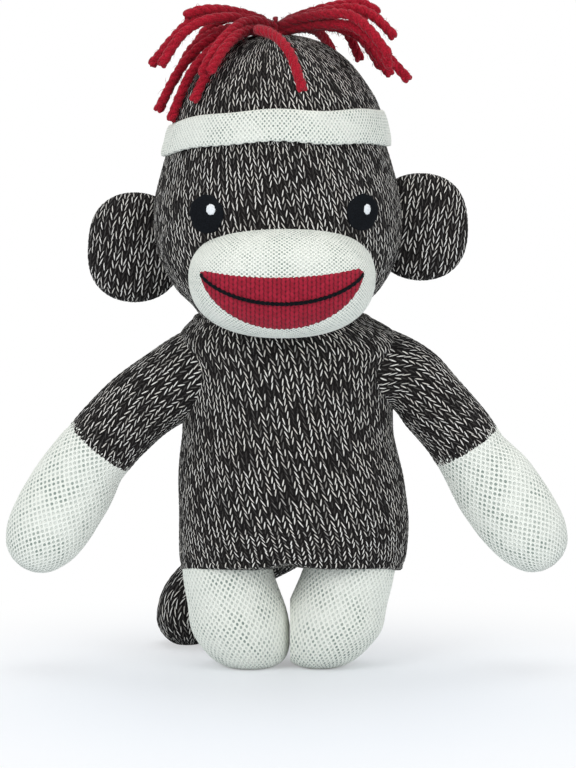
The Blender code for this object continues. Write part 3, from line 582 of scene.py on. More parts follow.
def knit_piece(name, knit, points, uv, fade_rows=0):
    """Lays stitches on the points of a closed tube, and makes it a piece."""
    wale, course, skew, height, relief, coat, slot = KNITS[knit]
    uv = np.stack([uv[..., 0] + skew * uv[..., 1], uv[..., 1]], axis=-1)
    amount = relief * height(uv, course / wale)
    if fade_rows:
        fade = np.clip(np.arange(len(points)) / fade_rows, 0, 1)
        amount = amount * (fade * fade[::-1])[:, None]
    piece = grid_piece(name, points + surface_normals(points) * amount[..., None])
    add_knit_uv(piece, uv)
    sewn_shut(piece)
    piece.data.materials.append(coat)
    print(name, len(piece.data.polygons), "faces")
    return piece


def knit_tube(name, knit, rings, reference, per_wale=6, per_course=4, lump=0.0, turn=pi / 2, girth=None,
              warp=lambda points: points):
    """A closed tube of knit round rings, with whole columns and rows of stitches."""
    wale, course = KNITS[knit][:2]
    girth = girth or max(pi * (ring[2] + ring[3]) / 2 for ring in rings)
    wales = round(girth / wale)
    _, length = tube_surface(rings, 10, 24, reference)
    courses = 2 * round(length / course / 2)
    points = warp(tube_surface(rings, courses * per_course, wales * per_wale, reference, turn)[0])
    if lump:
        points = points + surface_normals(points) * lumps(points, 9 * MM, lump)[..., None]
    across = np.linspace(0, wales, wales * per_wale + 1)
    up = np.linspace(0, courses, courses * per_course + 1)
    uv = np.stack(np.broadcast_arrays(across[None, :], up[:, None]), axis=-1)
    return knit_piece(name, knit, points, uv, fade_rows=per_course)


# %% [markdown]
# ## The trunk
#
# The trunk is a plain tube, full at the belly and drawn in at the neck. Its top is hollowed where
# the head rests on it, and its foot is nearly flat between the legs.

# %% Trunk
UP = Vector((0, 0, 1))
BACK = Vector((0, 1, 0))
OUTWARD = Vector((1, 0, 0))
TRUNK_LOW, TRUNK_HEIGHT, TRUNK_WIDTH, TRUNK_DEPTH = 0.0306, 0.0792, 0.0712, 0.0475
HEM_LIFT, HEM_REACH = 0.20, 0.016
NECK = Vector((-0.0037, 0, 0.1462))
NECK_RADIUS = 0.0455
trunk_shape = (  # height share, width share, depth share and shift to the side
    (0.00, 0.925, 0.82, 0.0003), (0.022, 0.962, 0.86, 0.0005), (0.07, 0.985, 0.92, 0.0008), (0.20, 1.00, 0.985, 0.0012),
    (0.345, 0.98, 1.00, 0.0004), (0.54, 0.915, 0.98, -0.0006), (0.70, 0.915, 0.95, -0.0004), (0.80, 0.93, 0.93, 0),
    (0.88, 0.98, 0.90, 0), (0.94, 0.915, 0.85, -0.0008), (0.985, 0.79, 0.80, -0.0022), (1.00, 0.71, 0.73, -0.0030),
)


def ball_height(radius):
    return NECK.z - sqrt(NECK_RADIUS ** 2 - radius ** 2)


trunk_rings = [(UP * (TRUNK_LOW - 0.0004), UP, 0, 0), (UP * (TRUNK_LOW - 0.0002), UP, 0.024, 0.014)]
trunk_rings += [(Vector((shift, 0, TRUNK_LOW + TRUNK_HEIGHT * level)), UP, TRUNK_WIDTH * width, TRUNK_DEPTH * depth)
                for level, width, depth, shift in trunk_shape]
trunk_rings += [(Vector((NECK.x, 0, ball_height(r) - 0.0006)), UP, 2 * r, 2 * r) for r in (0.016, 0.008, 0.0)]


def hemmed(points):
    """The trunk's form with its foot drawn up in front and between the legs."""
    low = np.clip(1 - (points[..., 2] - TRUNK_LOW) / HEM_REACH, 0, 1)
    drawn = points.copy()
    drawn[..., 2] += low * (HEM_LIFT * np.maximum(-points[..., 1], 0) + 0.0015 * np.exp(-(points[..., 0] / 0.006) ** 2))
    return drawn


trunk = knit_tube("trunk_knit", "marled", trunk_rings, BACK, per_wale=5, lump=0.25 * MM, warp=hemmed)
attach(trunk, "torso")
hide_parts("torso_skin", "torso_stuffing")

# %% Neck
neck_rings = [(Vector((NECK.x, 0, ball_height(0.0) + lift)), UP, width, width)
              for lift, width in ((-0.0028, 0.0), (-0.0026, 0.012), (-0.0014, 0.0255), (0.0, 0.0200), (0.0004, 0.0))]
neck = knit_tube("neck_knit", "marled", neck_rings, BACK, per_wale=4)
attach(neck, "torso")
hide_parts("neck_stuffing")

# %% [markdown]
# ## The head and the hat
#
# The head is wider than it is tall, and its underside is round so that it can turn on the trunk.
# The hat's crown goes on from it in the same marled knit and draws in under the tuft. Between
# them sits the cuff, a folded cream band that is higher in front than behind.

# %% Head
HEAD_LOW, HEAD_HEIGHT, HEAD_WIDTH, HEAD_DEPTH = 0.1012, 0.0960, 0.0790, 0.0682
HEAD_LEAN = radians(4)
head_shape = (
    (0.125, 0.66, 0.68), (0.19, 0.81, 0.83), (0.31, 0.94, 0.97), (0.44, 0.968, 1.00), (0.575, 0.883, 0.93),
    (0.65, 0.82, 0.875), (0.70, 0.775, 0.82),
)
crown_shape = (
    (0.64, 0.79, 0.84), (0.70, 0.80, 0.85), (0.77, 0.76, 0.81), (0.83, 0.675, 0.74), (0.90, 0.54, 0.58),
    (0.952, 0.385, 0.42), (0.978, 0.24, 0.26), (0.990, 0.09, 0.10), (0.992, 0.0, 0.0),
)


def head_centre(height):
    return Vector((NECK.x, (height - HEAD_LOW - HEAD_HEIGHT * 0.31) * sin(HEAD_LEAN), height))


def head_ring(level, width, depth, grow=0.0):
    return (head_centre(HEAD_LOW + HEAD_HEIGHT * level), UP, HEAD_WIDTH * width + grow, HEAD_DEPTH * depth + grow)


head_rings = [(Vector((NECK.x, 0, ball_height(r) + 0.0006)), UP, 2 * r, 2 * r * 0.97)
              for r in (0.0, 0.008, 0.0165, 0.0215)]
head_rings += [head_ring(*shape) for shape in head_shape]
head_rings += [(head_centre(0.1705), UP, 0.040, 0.036), (head_centre(0.1708), UP, 0, 0)]
head = knit_tube("head_knit", "marled", head_rings, BACK, per_wale=5, lump=0.2 * MM)
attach(head, "head")
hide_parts("head_skin", "head_stuffing")

# %% Crown of the hat
crown_rings = [(head_centre(HEAD_LOW + HEAD_HEIGHT * 0.63), UP, 0, 0),
               (head_centre(HEAD_LOW + HEAD_HEIGHT * 0.632), UP, 0.040, 0.036)]
crown_rings += [head_ring(*shape, grow=0.0012) for shape in crown_shape]
crown = knit_tube("crown_knit", "marled", crown_rings, BACK, lump=0.2 * MM)
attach(crown, "head")
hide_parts("hat_crown")

# %% Cuff of the hat
CUFF_LOW, CUFF_TALL, CUFF_THICK = 0.1613, 0.0091, 0.0027
CUFF_TILT, CUFF_SIDE_TILT = radians(7.0), radians(1.7)


def head_outline(height, angle, out):
    """A point beside the head at a height, an angle round it and a distance out from it."""
    level = (height - HEAD_LOW) / HEAD_HEIGHT
    shape = np.array([*head_shape[3:6], *crown_shape[2:4]])
    width = np.interp(level, shape[:, 0], shape[:, 1]) * HEAD_WIDTH / 2 + out
    depth = np.interp(level, shape[:, 0], shape[:, 2]) * HEAD_DEPTH / 2 + out
    lean = (height - HEAD_LOW - HEAD_HEIGHT * 0.31) * sin(HEAD_LEAN)
    return np.stack(np.broadcast_arrays(NECK.x + width * np.cos(angle), lean + depth * np.sin(angle), height), -1)


cuff_wales = 2 * round(pi * (HEAD_WIDTH + HEAD_DEPTH) * 0.91 / 2 / (FINE * CREAM_WALE) / 2)
cuff_girth = 2 * (CUFF_TALL + CUFF_THICK) * 0.95
cuff_courses = 2 * round(cuff_girth / (FINE * CREAM_COURSE) / 2)
angle = (pi / 2 + np.linspace(0, 2 * pi, cuff_wales * 4 + 1))[None, :]
loop = np.linspace(0, 2 * pi, 1441)
rise = np.sign(np.sin(loop)) * np.abs(np.sin(loop)) ** 0.75 * CUFF_TALL / 2
out = np.sign(np.cos(loop)) * np.abs(np.cos(loop)) ** 0.6 * CUFF_THICK / 2
travelled = np.concatenate([[0], np.cumsum(np.hypot(np.diff(rise), np.diff(out)))])
even = np.linspace(0, travelled[-1], cuff_courses * 3 + 1)[:, None]
loop, rise, out = (np.interp(even, travelled, values) for values in (loop, rise, out))
tilt = -np.sin(angle) * HEAD_DEPTH / 2 * tan(CUFF_TILT) + np.cos(angle) * HEAD_WIDTH / 2 * tan(CUFF_SIDE_TILT)
waver = 0.0005 * np.sin(3 * angle + 1) + 0.0003 * np.sin(7 * angle)
scallop = 0.0004 * np.clip(-np.sin(loop), 0, 1) * np.abs(np.sin(angle * cuff_wales / 6))
taller = 0.0013 * np.clip(np.sin(loop), 0, 1) * np.clip(np.cos(angle), 0, 1) ** 2
points = head_outline(CUFF_LOW + CUFF_TALL / 2 + tilt + waver + rise - scallop + taller, angle, CUFF_THICK / 2 + out)
uv = np.stack(np.broadcast_arrays(np.linspace(0, cuff_wales, cuff_wales * 4 + 1)[None, :],
                                  np.linspace(0, cuff_courses, cuff_courses * 3 + 1)[:, None]), axis=-1)
along = np.gradient(points, axis=0)
around = np.gradient(points, axis=1)
normals = np.cross(around, along)
normals /= np.linalg.norm(normals, axis=2, keepdims=True)
if (normals[0, :, :2] * (points[0, :, :2] - np.array(NECK)[:2])).sum() < 0:
    normals = -normals
cuff_relief = KNITS["cream"][4] * eyelet_height(uv, CREAM_COURSE / CREAM_WALE)
cuff = grid_piece("cuff_knit", points + normals * cuff_relief[..., None])
add_knit_uv(cuff, uv)
sewn_shut(cuff)
cuff.data.materials.append(cream_knit)
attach(cuff, "head")
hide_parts("hat_cuff")

# %% [markdown]
# ## The face
#
# The muzzle is a stuffed cream pad. Its stitches are laid flat across the front, as they would
# be on a disc of knit pulled over a handful of fibre. The mouth is a patch of red knit that
# follows the pad, and the smile is one black thread along it.


# %% Pads with flat-laid stitches
def knit_pad(name, knit, rings, reference, spacing, turn, lump=0.0, warp=lambda points: points, fine=1.0):
    """A closed pad round rings, with its stitches laid flat over its front and again over its back."""
    wale, course = KNITS[knit][:2]
    widest = max(pi * (ring[2] + ring[3]) / 2 for ring in rings)
    _, length = tube_surface(rings, 10, 24, reference)
    rows, columns = round(length / spacing), round(widest / spacing)
    points = warp(tube_surface(rings, rows, columns, reference, turn)[0])
    if lump:
        points = points + surface_normals(points) * lumps(points, 9 * MM, lump)[..., None]
    travelled = np.linspace(0, length, rows + 1)
    middle = np.argmax(np.linalg.norm(points - points.mean(1, keepdims=True), axis=2).mean(1))
    from_pole = np.where(np.arange(rows + 1) <= middle, travelled, 2 * travelled[middle] - travelled)
    angles = turn + np.linspace(0, 2 * pi, columns + 1)
    flat = np.stack([from_pole[:, None] * np.cos(angles), from_pole[:, None] * np.sin(angles)], axis=-1)
    uv = flat / (wale * fine, course * fine) + 40
    return knit_piece(name, knit, points, uv, fade_rows=1)


# %% Muzzle
FACE_X = -0.0024
MUZZLE_Z, MUZZLE_WIDTH, MUZZLE_TALL = 0.1233, 0.0562, 0.0342
MUZZLE_FLARE, MUZZLE_SQUARE = 0.04, 0.05
MUZZLE_FRONT, MUZZLE_BACK = -0.0467, -0.0150
FRONT = -BACK
muzzle_shape = ((1.012, 0.0), (1.008, 0.14), (0.995, 0.30), (0.92, 0.60), (0.72, 0.87), (0.40, 1.0), (0.0, 0.99))
muzzle_rings = [(Vector((FACE_X, MUZZLE_BACK + (MUZZLE_FRONT - MUZZLE_BACK) * out, MUZZLE_Z)), BACK,
                 MUZZLE_WIDTH * size, MUZZLE_TALL * size) for out, size in muzzle_shape]
muzzle_rings += [(Vector((FACE_X, MUZZLE_BACK, MUZZLE_Z)) + BACK * 0.001, BACK, 0.02, 0.012),
                 (Vector((FACE_X, MUZZLE_BACK, MUZZLE_Z)) + BACK * 0.001, BACK, 0, 0)]


def flared(points):
    """The muzzle's form, wider towards its top and fuller at its corners."""
    side, lift = (points[..., 0] - FACE_X) / (MUZZLE_WIDTH / 2), (points[..., 2] - MUZZLE_Z) / (MUZZLE_TALL / 2)
    fuller = 1 + MUZZLE_SQUARE * (2 * side * lift) ** 2
    wide = points.copy()
    wide[..., 0] = FACE_X + (points[..., 0] - FACE_X) * fuller * (1 + MUZZLE_FLARE * lift)
    wide[..., 2] = MUZZLE_Z + (points[..., 2] - MUZZLE_Z) * fuller
    return wide


muzzle = knit_pad("muzzle_knit", "cream", muzzle_rings, UP, 0.33 * MM, 0.0, warp=flared, fine=FINE)
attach(muzzle, "head")
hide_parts("muzzle_skin", "muzzle_stuffing")


# %% Patches that follow a surface
def front_depth(tree, x, z, fallback):
    """How far forward a surface comes at x and z, seen from the front."""
    place, _, _, _ = tree.ray_cast(Vector((x, -0.2, z)), BACK)
    return place.y if place else fallback


def smooth_depth(ring_list, reference, turn, warp=lambda points: points):
    """A plain copy of a knit form without its stitches, to lay a patch on."""
    points = warp(tube_surface(ring_list, 90, 120, reference, turn)[0])
    rows, columns = points.shape[:2]
    faces = [(r * columns + c, r * columns + c + 1, (r + 1) * columns + c + 1, (r + 1) * columns + c)
             for r in range(rows - 1) for c in range(columns - 1)]
    return BVHTree.FromPolygons([Vector(p) for p in points.reshape(-1, 3)], faces)


muzzle_form = smooth_depth(muzzle_rings, UP, 0.0, flared)
head_form = smooth_depth(head_rings, BACK, pi / 2)

# %% Mouth
MOUTH_WIDTH, MOUTH_TOP, MOUTH_TALL, MOUTH_SAG, MOUTH_ROUND = 0.0493, 0.1271, 0.0168, 0.0019, 0.62
TOOTH_PITCH, TOOTH = 1.7 * MM, 0.35 * MM
across = np.linspace(-1, 1, 261)
down = np.linspace(0, 1, 49)
open_share = np.maximum(1 - across ** 2, 0)
teeth = TOOTH * np.abs(np.sin(pi * across * MOUTH_WIDTH / 2 / TOOTH_PITCH)) * np.minimum(1, 6 * open_share)
upper = MOUTH_TOP + (0.0004 * across + 0.0010) * np.minimum(1, 7 * open_share) - MOUTH_SAG * open_share + 0.7 * teeth
lower = MOUTH_TOP - MOUTH_TALL * open_share ** MOUTH_ROUND - teeth
mouth_x = FACE_X + MOUTH_WIDTH / 2 * across
mouth_z = upper[None, :] + (lower - upper)[None, :] * down[:, None]
depth = np.array([[front_depth(muzzle_form, x, z, -0.03) for x, z in zip(mouth_x, line)] for line in mouth_z])
uv = np.stack(np.broadcast_arrays(mouth_x[None, :] / MOUTH_WALE + 40, mouth_z / MOUTH_COURSE), axis=-1)
edge = np.minimum(np.minimum(down, 1 - down)[:, None] * (upper - lower)[None, :],
                  (MOUTH_WIDTH / 2) * (1 - np.abs(across))[None, :])
raise_share = np.sqrt(np.clip(edge / (1.2 * MM), 0, 1))
proud = 0.0001 + raise_share * (0.00040 + 0.30 * MM * stitch_height(uv, MOUTH_COURSE / MOUTH_WALE))
mouth_points = np.stack(np.broadcast_arrays(mouth_x[None, :], depth - proud, mouth_z), axis=-1)
mouth = grid_piece("mouth_knit", mouth_points)
add_knit_uv(mouth, uv)
sewn_shut(mouth)
thick = mouth.modifiers.new("thickness", "SOLIDIFY")
thick.thickness = 0.0006
thick.offset = -1 if mouth.data.polygons[len(mouth.data.polygons) // 2].normal.y < 0 else 1
bpy.ops.object.modifier_apply(modifier="thickness")
mouth.data.materials.append(red_knit)
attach(mouth, "head")
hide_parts("mouth_patch")


# %% Threads along a line
def thread_piece(name, lines, radius, coat, resolution=3):
    """Round threads along lists of points, joined into one mesh. A point may carry its own thickness."""
    curve = bpy.data.curves.new(name, "CURVE")
    curve.dimensions = "3D"
    curve.bevel_depth = radius
    curve.bevel_resolution = resolution
    curve.use_fill_caps = True
    for line in lines:
        spline = curve.splines.new("POLY")
        spline.points.add(len(line) - 1)
        for point, place in zip(spline.points, line):
            point.co = (*place[:3], 1)
            point.radius = place[3] if len(place) > 3 else 1
    select_none()
    piece = bpy.data.objects.new(name, curve)
    bpy.context.scene.collection.objects.link(piece)
    bpy.context.view_layer.objects.active = piece
    piece.select_set(True)
    bpy.ops.object.convert(target="MESH")
    piece = bpy.context.object
    bpy.ops.object.shade_smooth()
    piece.data.materials.clear()
    piece.data.materials.append(coat)
    return piece


# %% Smile
SMILE_DROP, SMILE_SPAN, SMILE_ROUND = 0.0087, 0.985, 0.7
SMILE_RADIUS, SMILE_TURNS = 0.00039, 17
lines = []
steps = 150
for strand in range(2):
    line = []
    for step in range(steps + 1):
        a = (2 * step / steps - 1) * SMILE_SPAN
        x = FACE_X + MOUTH_WIDTH / 2 * a
        z = MOUTH_TOP - SMILE_DROP * (1 - a * a) ** SMILE_ROUND
        twist = step / steps * 2 * pi * SMILE_TURNS + pi * strand
        y = front_depth(muzzle_form, x, z, -0.03) - 0.0009
        line.append((x, y + 0.00022 * sin(twist), z + 0.00028 * cos(twist)))
    lines.append(line)
smile = thread_piece("smile_thread", lines, SMILE_RADIUS, black_thread, 2)
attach(smile, "head")
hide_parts("smile_line")

# %% [markdown]
# ## Eyes
#
# The eyes are embroidered: rows of black satin stitch side by side, a little raised in the
# middle, with a few white stitches for the glint. Each is a fine disc on the head, ridged where
# the threads lie.


# %% Embroidered discs
def embroidered(name, middle_x, middle_z, width, tall, proud, spikes, coat, thread=0.00042,
                ring_count=26, sectors=96, turn=0.0):
    """A domed disc of satin stitch on the front of the head, with a plain or spiky edge."""
    share = np.linspace(0, 1, ring_count + 1)
    angle = np.linspace(0, 2 * pi, sectors + 1)
    edge = np.ones_like(angle)
    for count, size in spikes:
        edge = edge + size * np.cos(count * angle + count)
    x = middle_x + width / 2 * share[:, None] * (edge * np.cos(angle))[None, :]
    z = middle_z + tall / 2 * share[:, None] * (edge * np.sin(angle))[None, :]
    y = np.array([[front_depth(head_form, a, b, -0.03) for a, b in zip(*pair)] for pair in zip(x, z)])
    ridge = np.abs(np.sin(pi * ((x - middle_x) * cos(turn) + (z - middle_z) * sin(turn)) / thread))
    dome = np.sqrt(np.maximum(1 - share ** 4, 0))[:, None]
    front = y - 0.0003 - dome * (proud + 0.00012 * ridge)
    rim_back = y[-1:] + 0.0004
    points = np.stack(np.broadcast_arrays(x, front, z), axis=-1)
    back = np.stack([x[-1:], rim_back, z[-1:]], axis=-1)
    centre = np.broadcast_to(back.mean((0, 1)), back.shape)
    piece = grid_piece(name, np.concatenate([points, back, centre]))
    sewn_shut(piece)
    piece.data.materials.append(coat)
    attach(piece, "head")
    return piece


EYES_X, EYE_SPACING = -0.0016, 0.0471
eye_plan = (  # side, word, height, width, tallness, and the glint's width, height, shift out and shift up
    (-1, "left", 0.1436, 0.0104, 0.0118, 0.0031, 0.0036, 0.0013, 0.0015),
    (1, "right", 0.1440, 0.0096, 0.0112, 0.0023, 0.0035, 0.0014, 0.0008),
)
for side, word, height, width, tall, glint_width, glint_tall, glint_out, glint_up in eye_plan:
    middle = EYES_X + side * EYE_SPACING / 2
    eye = embroidered(f"eye_{word}_satin", middle, height, width, tall, 0.0007,
                      ((5, 0.015), (9, 0.012)), black_thread, turn=0.9)
    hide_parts(f"eye_{word}")
    glint = embroidered(f"eye_{word}_glint", middle + glint_out, height + glint_up, glint_width, glint_tall, 0.0014,
                        ((7, 0.03), (11, 0.035)), white_thread, ring_count=8, sectors=48, turn=0.9)
    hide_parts(f"eye_spot_{word}")

# %% [markdown]
# ## Ears
#
# Each ear is a flat stuffed disc sewn to the side of the head.

# %% Ears
EAR_WIDTH, EAR_THICK, EAR_OUT, EAR_Y = 0.0290, 0.0125, 0.0440, 0.0020
ear_shape = ((-0.50, 0.0), (-0.495, 0.16), (-0.47, 0.42), (-0.36, 0.76), (-0.18, 0.95), (0.0, 1.0),
             (0.18, 0.95), (0.36, 0.76), (0.47, 0.42), (0.495, 0.16), (0.50, 0.0))


def squared(points):
    """An ear's outline a little fuller at its corners."""
    offset = points - np.array(middle)
    turn = np.arctan2(offset[..., 2], offset[..., 0])
    fuller = 0.05 * np.sin(2 * turn) ** 2
    return points + offset * np.stack([fuller, 0 * fuller, fuller], axis=-1)


for side, word, height, tall in ((-1, "left", 0.1310, 0.0336), (1, "right", 0.1375, 0.0324)):
    middle = Vector((NECK.x + side * EAR_OUT, EAR_Y, height))
    rings = [(middle + BACK * (EAR_THICK * out), BACK, EAR_WIDTH * size, tall * size) for out, size in ear_shape]
    ear = knit_pad(f"ear_{word}_knit", "marled", rings, UP, 0.45 * MM, 0.0, lump=0.2 * MM, warp=squared)
    seam = Vector((NECK.x + side * 0.0345, EAR_Y, height))
    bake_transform(ear)
    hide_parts(f"ear_{word}_skin", f"ear_{word}_stuffing")

# %% [markdown]
# ## Arms and hands
#
# A sleeve of marled knit droops from the shoulder, and the hand is the cream end of the sock.
# The shoulder end is a ball inside the trunk.

# %% Arm line
ROOT_RADIUS = 0.0130
HAND_WIDTH, HAND_DEPTH = 0.0246, 0.0217
SEAM_BACK = 0.0046
# side, word, shoulder, top ring's shift and size, sleeve's radius, length and droops, and the
# hand's length and droop
arm_plan = (
    (-1, "left", (0.0370, 0.0880), (0, 0), 1.06, 0.0112, 0.0338, (33, 43, 50, 51), 0.0402, 58),
    (1, "right", (0.0357, 0.0885), (0.0013, 0.0020), 1.0, 0.0106, 0.0318, (35, 49, 56, 57), 0.0417, 53.8),
)
hand_shape = ((0.24, 1.04, 1.0), (0.50, 1.05, 1.0), (0.74, 0.95, 0.92), (0.90, 0.70, 0.70),
              (0.97, 0.42, 0.44), (0.995, 0.16, 0.18), (1.0, 0.0, 0.0))


def droop_of(side, angle):
    return Vector((side * cos(angle), 0, -sin(angle)))


def ball_end(centre, axis, radius):
    """Rings that close a limb's root with half a ball."""
    return [(centre - axis * (radius * cos(t)), axis, 2 * radius * sin(t), 2 * radius * sin(t))
            for t in (0, 0.25, 0.6, 1.05)]


for (side, word, shoulder, shift, top_size, arm_radius, sleeve_length, droops, hand_length,
     hand_droop) in arm_plan:
    place = Vector((side * shoulder[0], 0, shoulder[1]))
    path = []
    for droop in droops:
        path.append((place.copy(), droop_of(side, radians(droop))))
        place += path[-1][1] * (sleeve_length / 3)
    wrist, last = path[-1]
    seam = wrist - last * SEAM_BACK
    full = 2 * arm_radius
    root, root_axis = Vector((side * 0.0275, 0, 0.0930)), droop_of(side, radians(28))
    rings = ball_end(root, root_axis, ROOT_RADIUS) + [(root, root_axis, 2 * ROOT_RADIUS, 2 * ROOT_RADIUS)]
    top = path[0][0] + Vector((side * shift[0], 0, shift[1]))
    rings += [(top, path[0][1], full * top_size, full * top_size)]
    rings += [(spot, axis, full * size, full * size) for (spot, axis), size in zip(path[1:3], (1.01, 1.0))]
    rings += [(seam, last, full, full), (seam + last * 0.0004, last, full * 0.90, full * 0.90),
              (seam, last, full * 0.5, full * 0.5), (seam, last, 0, 0)]
    sleeve = knit_tube(f"sleeve_{word}_knit", "marled", rings, BACK, lump=0.2 * MM, girth=pi * full)
    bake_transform(sleeve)
    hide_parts(f"arm_{word}_skin", f"arm_{word}_stuffing")

    along = droop_of(side, radians(hand_droop))
    first = arm_radius
    rings = [(seam - last * 0.0022, last, 0, 0), (seam - last * 0.0022, last, first, first),
             (seam - last * 0.0020, last, 2 * first * 0.97, 2 * first * 0.97),
             (seam + last * 0.0016, last, 2 * first * 1.015, 2 * first), (wrist, last, 2 * first * 1.04, 2 * first)]
    rings += [(wrist + along * (hand_length * share), along, HAND_WIDTH * width, HAND_DEPTH * depth)
              for share, width, depth in hand_shape]
    hand = knit_tube(f"hand_{word}_knit", "cream", rings, BACK, per_wale=5, lump=0.15 * MM)
    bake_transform(hand)
    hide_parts(f"hand_{word}_skin", f"hand_{word}_stuffing")

# %% [markdown]
# ## Legs
#
# The legs are short cream tubes with rounded toes, pressed together in the middle and flat
# underneath.

# %% Legs
LEG_RADIUS, HIP_Z, LEG_LENGTH = 0.0145, 0.0325, 0.0345
FOOT_GAP = 0.00005
leg_shape = ((0.04, 0.93), (0.28, 0.98), (0.52, 1.04), (0.72, 0.98), (0.88, 0.80), (0.96, 0.55),
             (0.995, 0.25), (1.0, 0.0))
for side, word, hip_out, lean in ((-1, "left", 0.0204, 14), (1, "right", 0.0196, 18)):
    hip = Vector((side * hip_out, 0, HIP_Z))
    axis = Vector((-side * sin(radians(lean)), 0, -cos(radians(lean))))
    full = 2 * LEG_RADIUS
    rings = ball_end(hip - axis * 0.001, axis, LEG_RADIUS * 0.92)
    for along, size in leg_shape:
        upright = axis.lerp(-UP, min(1, max(0, (along - 0.4) / 0.4))).normalized()
        rings.append((hip + axis * (LEG_LENGTH * along), upright, full * size, full * size))
    leg = knit_tube(f"leg_{word}_knit", "cream", rings, BACK, per_wale=5, lump=0.15 * MM)
    on_floor(leg, side, FOOT_GAP)
    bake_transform(leg)
    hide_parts(f"hip_{word}_skin", f"foot_{word}_skin", f"leg_{word}_stuffing")

# %% [markdown]
# ## Tail
#
# The tail is one more marled tube. It leaves the seat, curls out behind the left foot and ends
# on the floor.

# %% Tail
TAIL_RADIUS = 0.0096
tail_root, tail_tip = Vector((0, 0.0205, 0.0385)), Vector((-0.0330, 0.0371, TAIL_RADIUS - 0.0005))
tail_start = Vector((-0.30, 0.92, -0.50)).normalized() * 0.0180
tail_end = Vector((0, 0, -1)) * 0.0130
tail_rings = []
for step in range(9):
    t = step / 8
    place = (tail_root * (1 - t) ** 3 + (tail_root + tail_start) * (3 * t * (1 - t) ** 2)
             + (tail_tip - tail_end) * (3 * t * t * (1 - t)) + tail_tip * t ** 3)
    slope = (tail_start * (1 - t) ** 2 + (tail_tip - tail_end - tail_root - tail_start) * (2 * t * (1 - t))
             + tail_end * t * t).normalized()
    tail_rings.append((place, slope, 2 * TAIL_RADIUS, 2 * TAIL_RADIUS))
last = tail_rings[-1][1]
tail_rings = ball_end(tail_rings[0][0], tail_rings[0][1], TAIL_RADIUS) + tail_rings
tail_rings += [(tail_tip + last * (TAIL_RADIUS * sin(t)), last, 2 * TAIL_RADIUS * cos(t), 2 * TAIL_RADIUS * cos(t))
               for t in (0.5, 0.95, 1.3, 1.48, pi / 2)]
tail = knit_tube("tail_knit", "marled", tail_rings, OUTWARD, lump=0.15 * MM)
on_floor(tail)
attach(tail, "tail")
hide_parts("tail_skin", "tail_stuffing")

# %% [markdown]
# ## The tuft
#
# Eleven lengths of thick crimson yarn lie across the top of the hat in two layers, tied down in
# the middle. Each is spun from three plies, which wind round each other and open a little at
# the cut ends, and loose fibres stand off it.

# %% Where the yarn lies
YARN_RADIUS, YARN_PITCH, YARN_STEPS, FAN_END = 0.0016, 0.0035, 6, 0.3
CROWN_RADIUS, CROWN_FALL = 0.0330, 0.0270
TUFT_STAND, ROOT_DIP, ROOT_GATHER = 0.0035, 0.0036, 0.78
tuft_base = Vector(TUFT_ROOT)
lower_yarns = (  # turn, reach and rise of the left half, then of the right half
    ((50, 0.027, -0.0125), (60, 0.038, -0.0240, 135)), ((38, 0.029, -0.0212), (24, 0.038, -0.0105)),
    ((22, 0.0335, -0.0276), (12, 0.042, -0.0150)), ((8, 0.036, -0.0238), (-8, 0.036, -0.0130)),
    ((-34, 0.036, -0.018), (-34, 0.038, -0.0135)), ((-66, 0.034, -0.018), (-64, 0.034, -0.021)),
)
upper_yarns = (
    ((46, 0.028, -0.0135), (28, 0.038, -0.0075)), ((14, 0.036, -0.0105), (12, 0.037, -0.0015)),
    ((2, 0.028, 0.0055), (0, 0.032, 0.0062)), ((-14, 0.039, -0.0105), (-16, 0.029, 0.0035)),
    ((-44, 0.034, -0.012), (-46, 0.034, -0.012)),
)


def crown_drop(reach):
    inside = min(reach, CROWN_RADIUS * 0.9)
    return CROWN_FALL * (1 - sqrt(1 - (inside / CROWN_RADIUS) ** 2)) + (reach - inside) * 2


def yarn_half(side, row, layer, fan, reach, rise, first=0):
    """Places along half a length of yarn, from the tie out over the hat."""
    start = Vector((0, row, 0))
    place = start.copy()
    stand = TUFT_STAND + layer * YARN_PITCH
    lift = rise - stand + crown_drop(reach)
    places = []
    for count in range(YARN_STEPS + 1):
        share = count / YARN_STEPS
        height = (stand + lift * share * share - crown_drop((place - start).length)
                  - ROOT_DIP * (1 + 0.5 * layer) * (1 - share) ** 3)
        gathered = place.y - start.y * ROOT_GATHER * (1 - share) ** 2
        places.append(tuft_base + Vector((place.x, gathered, height)))
        heading = radians(first + (fan - first) * min(1, share / FAN_END))
        place += Vector((side * cos(heading), -sin(heading), 0)) * (reach / YARN_STEPS)
    return places


# %% Plied yarn
PLY_RADIUS, PLY_OUT, PLY_PITCH, STRAY_FIBRES = 0.00105, 0.00064, 0.0085, 220
chance = np.random.default_rng(11)


def side_frames(line):
    """Two directions square to a line at each of its points."""
    heading = np.gradient(line, axis=0)
    heading /= np.linalg.norm(heading, axis=1, keepdims=True)
    first = np.cross(heading, (0.31, 0.95, 0.05))
    first /= np.linalg.norm(first, axis=1, keepdims=True)
    return first, np.cross(heading, first)


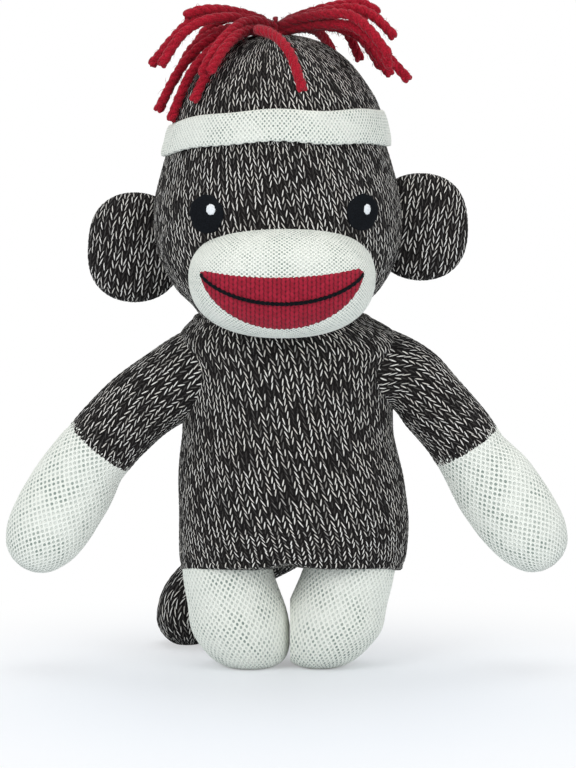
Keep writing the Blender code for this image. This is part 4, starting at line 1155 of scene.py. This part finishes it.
def plied(places, count=110):
    """The plies of one length of yarn and its stray fibres, as lists of points with thickness."""
    line = through([tuple(p) for p in places], np.linspace(0, len(places) - 1, count))
    sway = np.linspace(0, 1, count)[:, None] * 7
    ends = np.abs(np.linspace(-1, 1, count))
    line = line + 0.0005 * (ends ** 2)[:, None] * np.sin(sway + chance.uniform(0, 6, 3))
    first, second = side_frames(line)
    travelled = np.concatenate([[0], np.cumsum(np.linalg.norm(np.diff(line, axis=0), axis=1))])
    open_end = 1 + 0.55 * np.clip((ends - 0.93) / 0.07, 0, 1) ** 2
    strands, start = [], chance.uniform(0, 2 * pi)
    for ply in range(3):
        angle = start + 2 * pi * (ply / 3 + travelled / PLY_PITCH)
        place = line + (PLY_OUT * open_end)[:, None] * (
            first * np.cos(angle)[:, None] + second * np.sin(angle)[:, None])
        thick = 1 - 0.35 * np.clip((ends - 0.975) / 0.025, 0, 1)
        strands.append([(*p, t) for p, t in zip(place, thick)])
    for _ in range(STRAY_FIBRES):
        at = chance.integers(2, count - 2)
        angle = chance.uniform(0, 2 * pi)
        out = first[at] * cos(angle) + second[at] * sin(angle)
        drift = (line[at + 1] - line[at - 1]) * chance.uniform(-0.8, 0.8)
        reach = chance.uniform(0.0004, 0.0014)
        root = line[at] + out * YARN_RADIUS * 0.85
        strands.append([(*root, 0.055), (*(root + out * reach * 0.6 + drift * 0.4), 0.045),
                        (*(root + out * reach + drift + (0, 0, -0.0003)), 0.02)])
    return strands


# %% Tuft
number = 0
for layer, yarns in enumerate((lower_yarns, upper_yarns)):
    for index, (left, right) in enumerate(yarns):
        row = (index - (len(yarns) - 1) / 2) * YARN_PITCH
        places = yarn_half(-1, row, layer, *left)[:0:-1] + yarn_half(1, row, layer, *right)
        number += 1
        yarn = thread_piece(f"tuft_{number}_plies", plied(places), PLY_RADIUS, red_yarn, 1)
        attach(yarn, "head")
        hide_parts(f"tuft_yarn_{number}")
turns = np.linspace(0, 2 * pi, 49)
tie_line = [tuple(tuft_base + Vector((0.0004 * sin(9 * t), 0.0044 * np.sign(cos(t)) * abs(cos(t)) ** 0.7,
                                      0.0008 + 0.0036 * np.sign(sin(t)) * abs(sin(t)) ** 0.7))) for t in turns]
tie = thread_piece("tuft_tie_thread", [tie_line], 0.0005, red_yarn, 2)
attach(tie, "head")
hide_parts("tuft_tie")
